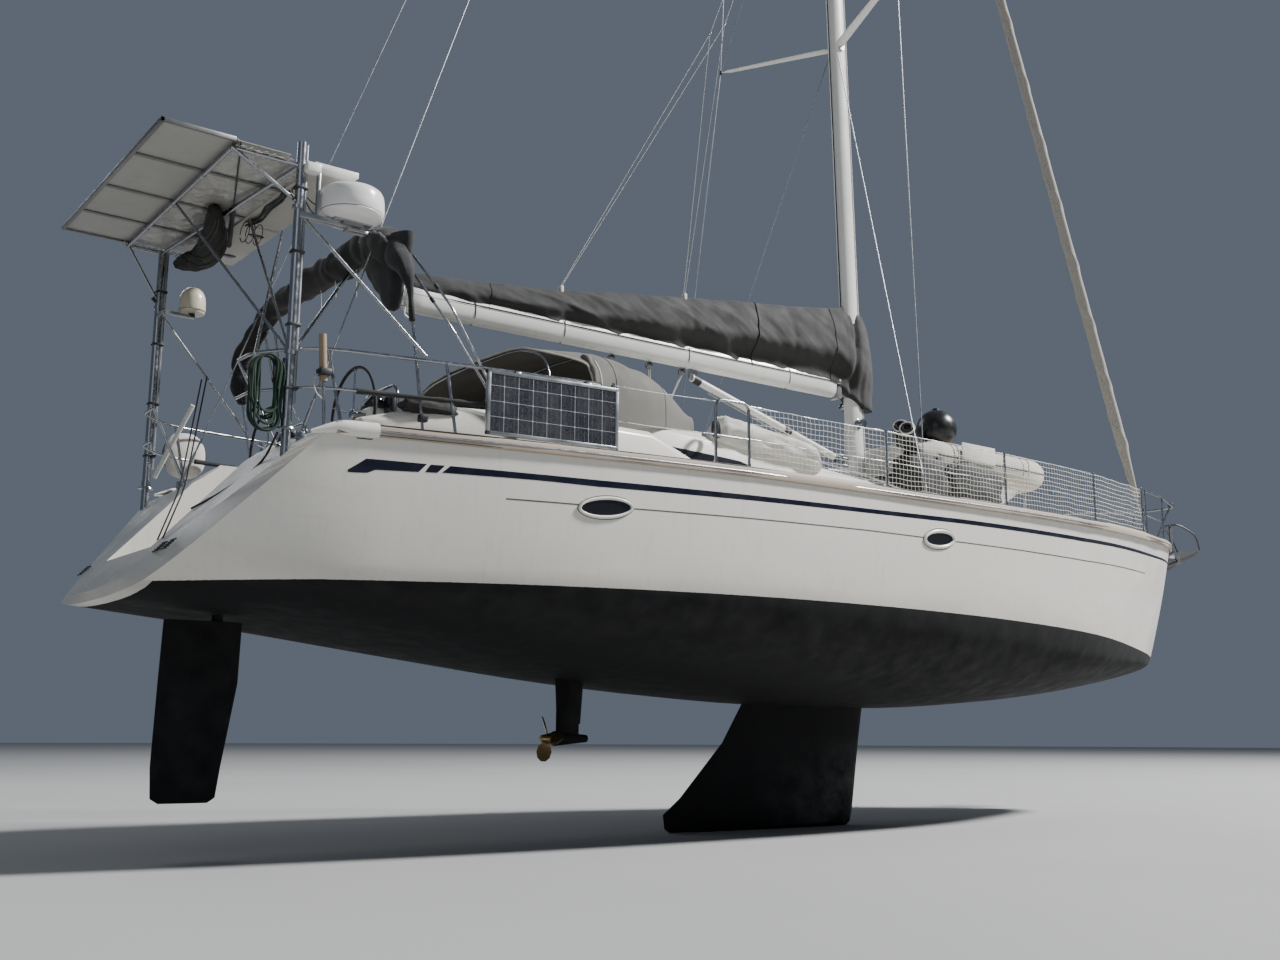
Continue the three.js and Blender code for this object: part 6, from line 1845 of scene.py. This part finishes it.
def build_hose():
    cx, y, cz = -6.7615, -1.6, 1.56
    start = Vector((-6.634, y, 1.85))
    points = [start, Vector((-6.641, y, 1.78))]
    per_turn = 44
    for k in range(sizes().hose_turns * per_turn + 1):
        lap = k / per_turn
        spread = 0.5 + 0.5 * sin(lap * 2.4 + 1.2)
        half_x = 0.062 + 0.062 * spread + 0.004 * sin(lap * 1.7)
        half_z = 0.21 + 0.08 * (0.5 + 0.5 * cos(lap * 1.9))
        sway = 0.038 * sin(lap * 3.1) + 0.006 * sin(4 * pi * lap)
        x, z = oblong(lap, half_x, half_z)
        points.append(Vector((cx + x, y + sway, cz + 0.292 - half_z + z)))
    curve = bpy.data.curves.new("deck_hose", "CURVE")
    curve.dimensions = "3D"
    curve.bevel_depth = sizes().hose / 2
    curve.bevel_resolution = 3
    curve.use_fill_caps = True
    spline = curve.splines.new("POLY")
    spline.points.add(len(points) - 1)
    for point, place in zip(spline.points, points):
        point.co = (*place, 1.0)
    spline.use_smooth = True
    green = finish("hose_green", (0.008, 0.03, 0.02), 0.4, 0.0, (0.2, 0.3), (0.002, 0.0002), 0.1)
    curve.materials.append(green)
    hose = placed("deck_hose", curve)
    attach(hose, "yacht")
    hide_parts("hose_hank")


def build_stern_gear():
    low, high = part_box("lifebuoy_bag")
    bag = Piece("lifebuoy_pouch")
    centre = (low + high) / 2

    def place(u, v):
        angle = tau * u
        swell = sin(pi * clamped(v)) ** 0.45
        shape = 1 + 0.03 * waver((cos(angle), sin(angle), v * 2), 0.4, 1.0)
        reach_x, reach_z = 0.2 * swell * shape, 0.225 * swell * shape
        x = centre.x + reach_x * eased(cos(angle), 0.8)
        z = centre.z + reach_z * eased(sin(angle), 0.8)
        return Vector((x, low.y + (high.y - low.y) * v, z))

    bag.add(grid(40, 14, place, closed=True), white_cloth(), 60)
    bag.add(ring(centre, 0.212, 0.006, (0, 1, 0), 48, 6), canvas("buoy_binding", (0.05, 0.05, 0.06), 0.001))
    made = bag.done("buoy_white", "lifebuoy_bag")
    pole = Piece("stern_poles")
    pole.tube([(-6.356, 1.15, 2.056), (-6.545, 1.52, 1.406)], 0.022, spar_white())
    foot, head = Vector((-6.33, -1.7, 1.3)), Vector((-6.38, -1.7, 2.06))
    wood = teak_finish("pole_wood", 0.3)
    pole.tube([foot, head], 0.012, steel("rail_tube", 0.22))
    pole.tube([foot.lerp(head, 0.52), head], 0.03, wood)
    pole.box((-6.41, -1.76, 1.735), (-6.31, -1.66, 1.79), 0.015, black_plastic())
    loop = [(-6.36, -1.7, 1.78), (-6.44, -1.7, 1.72), (-6.42, -1.7, 1.6), (-6.345, -1.7, 1.55)]
    pole.tube(loop, 0.006, white_line(), 0.06)
    pole.done("spar")
    # Dark netting left in a heap on the coamings
    netting = Piece("coaming_netting")
    heap_finish = finish("dark_netting", (0.03, 0.03, 0.028), 0.85, 0.0, (0.02, 0.6), (0.01, 0.003),
        creases=0.02)
    side_decks = tree_of("coaming_stbd", "coaming_port", "hull")
    for _, sign in SIDES:
        top = min(drop(side_decks, x, sign * 1.58, 3.0) for x in (-5.5, -5.3, -5.1))
        low = (-5.68, sign * 1.58 - 0.12, top - 0.03)
        netting.add(heap(low, (-5.1, sign * 1.58 + 0.1, top + 0.1), 2.0 + sign), heap_finish, 70)
    netting.done("canvas_black")


# Foredeck and bow
def build_tender():
    cover = finish("tender_fabric", colours().tender, 0.62, 0.0, (0.5, 0.1), (0.004, 0.0004), 0.25, 0.0,
        0.002, 0.1, streak=0.15)
    tender = Piece("tender_tubes")
    side = [Vector((1.62, 0.555, 2.36)), Vector((3.65, 0.555, 2.36)), Vector((4.38, 0.19, 2.48))]
    loop = side + mirrored(reversed(side))
    route = Route(loop, 0.33, (0, 0, 1))

    def radius(u, v):
        near = min(v, 1 - v) * route.length
        taper = 0.35 + 0.65 * min(1.0, near / 0.34) ** 0.6
        seam = 0.004 * sum(exp(-((v * route.length - s) / 0.02) ** 2) for s in (1.1, 2.2, 3.0, 3.8, 4.9))
        return 0.203 * taper - seam

    tender.add(pipe(route, 40, 150, radius), cover, 70)
    # Rows of x, half width, height of the chine and of the keel
    bottom = ((1.75, 0.452, 2.21, 1.898), (3.3, 0.461, 2.21, 1.912), (3.9, 0.38, 2.25, 2.01),
        (4.4, 0.15, 2.43, 2.33))

    def vee(u, v):
        x = 1.75 + 2.65 * v
        _, half, chine, keel = smooth_between(bottom, x)
        share = abs(2 * u - 1)
        z = keel + (chine - keel) * share**1.15 + 0.012 * sin(share * 9)
        return Vector((x, half * (2 * u - 1), z))

    tender.add(walled(grid(32, 40, vee, (1.0, 2.6)), 0.02), gelcoat(0.85, "tender_hull"), 50)
    tender.box((1.738, -0.43, 2.215), (1.782, 0.43, 2.56), 0.01, gelcoat(0.85, "tender_hull"))
    tender.box((3.08, -0.23, 1.62), (3.2, 0.23, 2.03), 0.012, rubber())
    rubbing = finish("tender_strip", (0.1, 0.1, 0.1), 0.6, 0.0, (0.2, 0.1), (0.003, 0.0003))
    strip = []
    for k in range(81):
        here, across, _ = route.at(0.04 + 0.92 * k / 80)
        strip.append(here - across * 0.204 if across.dot(here - Vector((2.7, 0, 2.4))) < 0 else here
            + across * 0.204)
    tender.tube(strip, 0.012, rubbing)
    made = tender.done("tender_fabric", "tender")
    gear = Piece("tender_gear")
    white = canvas("strap_webbing", (0.6, 0.59, 0.55), 0.001)
    for x in (2.2, 3.55):
        line = []
        for k in range(33):
            angle = pi * k / 32
            y = 0.785 * eased(cos(angle), 0.4)
            line.append((x, y, 2.36 + 0.21 * sin(angle) ** 0.5))
        for sign in (-1, 1):
            lower = (x, sign * 0.785, 2.36)
            gear.tube([lower, (x + 0.02, sign * 0.7, 2.1), (x + 0.05, sign * 0.62, 1.66)], 0.007, white, 0.2)
        gear.tube(line, 0.009, white)
    gear.box((2.28, -0.778, 2.345), (2.9, -0.758, 2.56), 0.008, white_cloth())
    # Dark lumpy heaps laid in the tender and along its starboard side
    dark = finish("stowed_gear", (0.022, 0.022, 0.021), 0.75, 0.0, (0.05, 0.5), (0.012, 0.002), 0.1,
        creases=0.01)
    for low, high, seed in (((1.78, -0.5, 2.16), (2.1, 0.5, 2.58), 1.0),
            ((2.5, -0.42, 2.2), (3.5, 0.42, 2.5), 4.0), ((1.3, -0.85, 1.62), (2.15, -0.3, 2.42), 7.0),
            ((1.36, 0.05, 1.6), (1.7, 0.6, 2.15), 9.0), ((1.9, -0.86, 1.72), (3.1, -0.6, 2.38), 12.0)):
        gear.add(heap(low, high, seed), dark, 70)
    # Two fenders stowed on end by the mast, their ends pale and ringed
    for x, y, z in ((1.5, -0.62, 2.5), (1.75, -0.3, 2.62)):
        rows = [(0, -0.3), (0.05, -0.29), (0.1, -0.24), (0.105, 0.0), (0.1, 0.18), (0.085, 0.22),
            (0.04, 0.245), (0, 0.25)]
        toward = Vector((-0.75, -0.55, 0.45))
        gear.add(turned(rows, (x, y, z), toward, 32), finish("fender_black", (0.014, 0.014, 0.016), 0.3), 50)
        for size, paint in ((0.082, white_cloth()), (0.052, dark)):
            gear.add(ring(Vector((x, y, z)) + toward.normalized() * (0.232 + 0.016 * (0.082 - size) / 0.03),
                size, 0.012, toward), paint)
    gear.done("canvas_grey")


def heap(low, high, seed):
    """A lumpy bundle between two corners, flat below."""
    low, high = Vector(low), Vector(high)
    centre, half = (low + high) / 2, (high - low) / 2

    def place(u, v):
        angle, rise = tau * u, pi * (v - 0.5)
        out = Vector((cos(angle) * cos(rise), sin(angle) * cos(rise), sin(rise)))
        out = Vector([eased(c, 0.7) for c in out])
        lump = 1 + 0.2 * waver(out, 0.5, seed) + 0.09 * waver(out, 0.17, seed + 3)
        return centre + Vector([a * b for a, b in zip(out, half)]) * min(1.0, 0.86 * lump)

    return grid(36, 22, place, (1.2, 0.8), closed=True)


def build_foredeck_gear():
    ball = Piece("ball_fender_skin")
    low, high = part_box("ball_fender")
    centre = (low + high) / 2
    rows = [(0.245 * sin(pi * k / 24), -0.245 * cos(pi * k / 24)) for k in range(25)]
    rows[0], rows[-1] = (0, -0.245), (0, 0.245)
    ball.add(turned(rows, centre, steps=48), finish("ball_black", (0.014, 0.014, 0.016), 0.3, 0.0,
        (0.2, 0.2), (0.01, 0.0002), 0.2), 60)
    ball.add(turned([(0, 0), (0.05, 0), (0.045, 0.03), (0.03, 0.04), (0, 0.042)],
        centre + Vector((0, 0, 0.23))), rubber())
    ball.done("canvas_black", "ball_fender")
    skin("windlass_body", "aluminium", "windlass", anodised(), 30, 0.008)
    # Pale sailcloth folded along the coachroof's edge, and a black line coil at its end
    stowed = Piece("stowed_cloth")
    roof = tree_of("coachroof", "hull")

    def place(u, v):
        angle = tau * u
        x = -2.02 + 1.6 * v
        swell = min(1.0, 0.3 + 7 * min(v, 1 - v)) if 0 < v < 1 else 0.02
        lump = 1 + 0.3 * waver((x, cos(angle), sin(angle)), 0.3, 5.0)
        y = -1.1 + 0.06 * v
        out, up = 0.15 * cos(angle) * lump * swell, 0.125 * sin(angle) * lump * swell
        return Vector((x, y + out, (drop(roof, x, y, 2.6) or 1.9) + 0.1 * swell + up * (1.25 - 0.3 * v)))

    stowed.add(grid(30, 60, place, (0.8, 1.6), closed=True), white_cloth(), 70)
    made = stowed.done("canvas_grey")
    coil = Piece("line_coil")
    for k in range(5):
        coil.add(ring((-2.11 + 0.012 * k, -1.3, 2.0), 0.075 - 0.004 * (k % 2), 0.009, (1, -0.5, 0.1), 28,
            8), dark_line())
    coil.done("canvas_black")


def build_bow_gear():
    skin("bow_roller_cheeks", "steel", "bow_roller", steel(), 30, 0.003)
    iron = finish("anchor_iron", (0.1, 0.1, 0.1), 0.55, 0.6, (0.1, 0.2), (0.004, 0.0006), 0.5)
    skin("anchor_galvanised", "steel", "anchor", iron, 30, 0.004)


def build_running_rigging():
    sheet = Piece("mainsheet_falls")
    base = tree_of("coachroof")
    for k, x in enumerate(SHEET_BLOCKS[1:]):
        foot_x = -1.86 + 0.1 * k
        z = drop(base, foot_x, 0.0)
        for offset in (-0.012, 0.012):
            sheet.tube([(foot_x, offset, z + 0.1), (x, offset, boom_bottom(x) - 0.08)], 0.005, white_line())
    made = sheet.done(body="")
    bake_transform(made)
    jacks = Piece("lazy_jacks")
    for _, sign in SIDES:
        root = Vector((mast_x(11.9) - 0.1, sign * 0.07, 11.8))
        knot = Vector((-0.9, sign * 0.13, 7.2))
        jacks.tube([root, knot], 0.0028, white_line())
        for x in COVER_TABS:
            foot = cover_spot(x, 0.5) + Vector((0, sign * 0.012, 0.035))
            jacks.tube([knot, foot], 0.0026, white_line())
        jacks.add(ring(knot, 0.018, 0.004, (1, 0, 0), 16, 6), steel())
    made = jacks.done(body="", sides=2)
    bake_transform(made)


# Operators, panel and the add-on's own classes
class BuildStage(bpy.types.Operator):
    """Floor, soft lights and the camera"""

    bl_idname = "yacht.stage"
    bl_label = "Stage"

    def execute(self, context):
        build_stage()
        return {"FINISHED"}


class BuildHose(bpy.types.Operator):
    """Hank of deck hose on the starboard gantry post"""

    bl_idname = "yacht.hose"
    bl_label = "Deck hose"

    def execute(self, context):
        build_hose()
        return {"FINISHED"}


class BuildHull(bpy.types.Operator):
    """Hull with its paint, stripe and ports, rubbing strakes, keel, rudder and propeller"""

    bl_idname = "yacht.hull"
    bl_label = "Hull"

    def execute(self, context):
        build_hull()
        build_strakes()
        build_underbody()
        return {"FINISHED"}


class BuildDeck(bpy.types.Operator):
    """Coachroof with its windows and hatches, and the cockpit with its wheels"""

    bl_idname = "yacht.deck"
    bl_label = "Deck"

    def execute(self, context):
        build_coachroof()
        build_cockpit()
        return {"FINISHED"}


class BuildSpars(bpy.types.Operator):
    """Mast with its spreaders and wires, and the boom with its vang"""

    bl_idname = "yacht.spars"
    bl_label = "Mast, rigging and boom"

    def execute(self, context):
        build_mast()
        build_rigging()
        build_boom()
        return {"FINISHED"}


class BuildSails(bpy.types.Operator):
    """Cover over the stowed sail, and the headsail rolled on the forestay"""

    bl_idname = "yacht.sails"
    bl_label = "Sails"

    def execute(self, context):
        build_sail_cover()
        build_headsail()
        return {"FINISHED"}


class BuildRails(bpy.types.Operator):
    """Guard rails with their nets, pulpit and pushpits"""

    bl_idname = "yacht.rails"
    bl_label = "Rails"

    def execute(self, context):
        build_guard_rails()
        build_pulpit()
        build_pushpits()
        return {"FINISHED"}


class BuildGantry(bpy.types.Operator):
    """Stern gantry with the solar array, the radar and the small aerial"""

    bl_idname = "yacht.gantry"
    bl_label = "Gantry"

    def execute(self, context):
        build_gantry()
        build_solar_array()
        build_domes()
        return {"FINISHED"}


class BuildCanvas(bpy.types.Operator):
    """Rolled canopy on its folded hoops, and the sprayhood on its bows"""

    bl_idname = "yacht.canvas"
    bl_label = "Bimini and sprayhood"

    def execute(self, context):
        build_bimini()
        build_sprayhood()
        return {"FINISHED"}


class BuildSternGear(bpy.types.Operator):
    """Side solar panel, lifebuoy bag, poles and netting"""

    bl_idname = "yacht.stern_gear"
    bl_label = "Stern gear"

    def execute(self, context):
        build_side_panel()
        build_stern_gear()
        return {"FINISHED"}


class BuildBowGear(bpy.types.Operator):
    """Tender, fenders, windlass, bow roller and anchor"""

    bl_idname = "yacht.bow_gear"
    bl_label = "Foredeck gear"

    def execute(self, context):
        build_tender()
        build_foredeck_gear()
        build_bow_gear()
        return {"FINISHED"}


class BuildRunningRigging(bpy.types.Operator):
    """Mainsheet and lazy jacks between the boom and the yacht"""

    bl_idname = "yacht.running_rigging"
    bl_label = "Running rigging"

    def execute(self, context):
        build_running_rigging()
        return {"FINISHED"}


BUILDERS = (BuildStage, BuildHose, BuildHull, BuildDeck, BuildSpars, BuildSails, BuildRails, BuildGantry,
    BuildCanvas, BuildSternGear, BuildBowGear, BuildRunningRigging)


class YachtPanel(bpy.types.Panel):
    """Lists the yacht's pieces in the sidebar"""

    bl_idname = "YACHT_PT_pieces"
    bl_label = "Cruising sloop"
    bl_space_type = "VIEW_3D"
    bl_region_type = "UI"
    bl_category = "Sloop"

    def draw(self, context):
        column = self.layout.column(align=True)
        for key in YachtColours.__annotations__:
            column.prop(context.scene.yacht_colours, key)
        for key in YachtSizes.__annotations__:
            column.prop(context.scene.yacht_sizes, key)
        for builder in BUILDERS:
            column.operator(builder.bl_idname)


CLASSES = (YachtColours, YachtSizes, *BUILDERS, YachtPanel)


def register():
    for kind in CLASSES:
        bpy.utils.register_class(kind)
    bpy.types.Scene.yacht_colours = PointerProperty(type=YachtColours)
    bpy.types.Scene.yacht_sizes = PointerProperty(type=YachtSizes)


def unregister():
    del bpy.types.Scene.yacht_sizes
    del bpy.types.Scene.yacht_colours
    for kind in reversed(CLASSES):
        bpy.utils.unregister_class(kind)


def main():
    register()
    for builder in BUILDERS:
        group, name = builder.bl_idname.split(".")
        getattr(getattr(bpy.ops, group), name)()


if __name__ == "__main__":
    main()
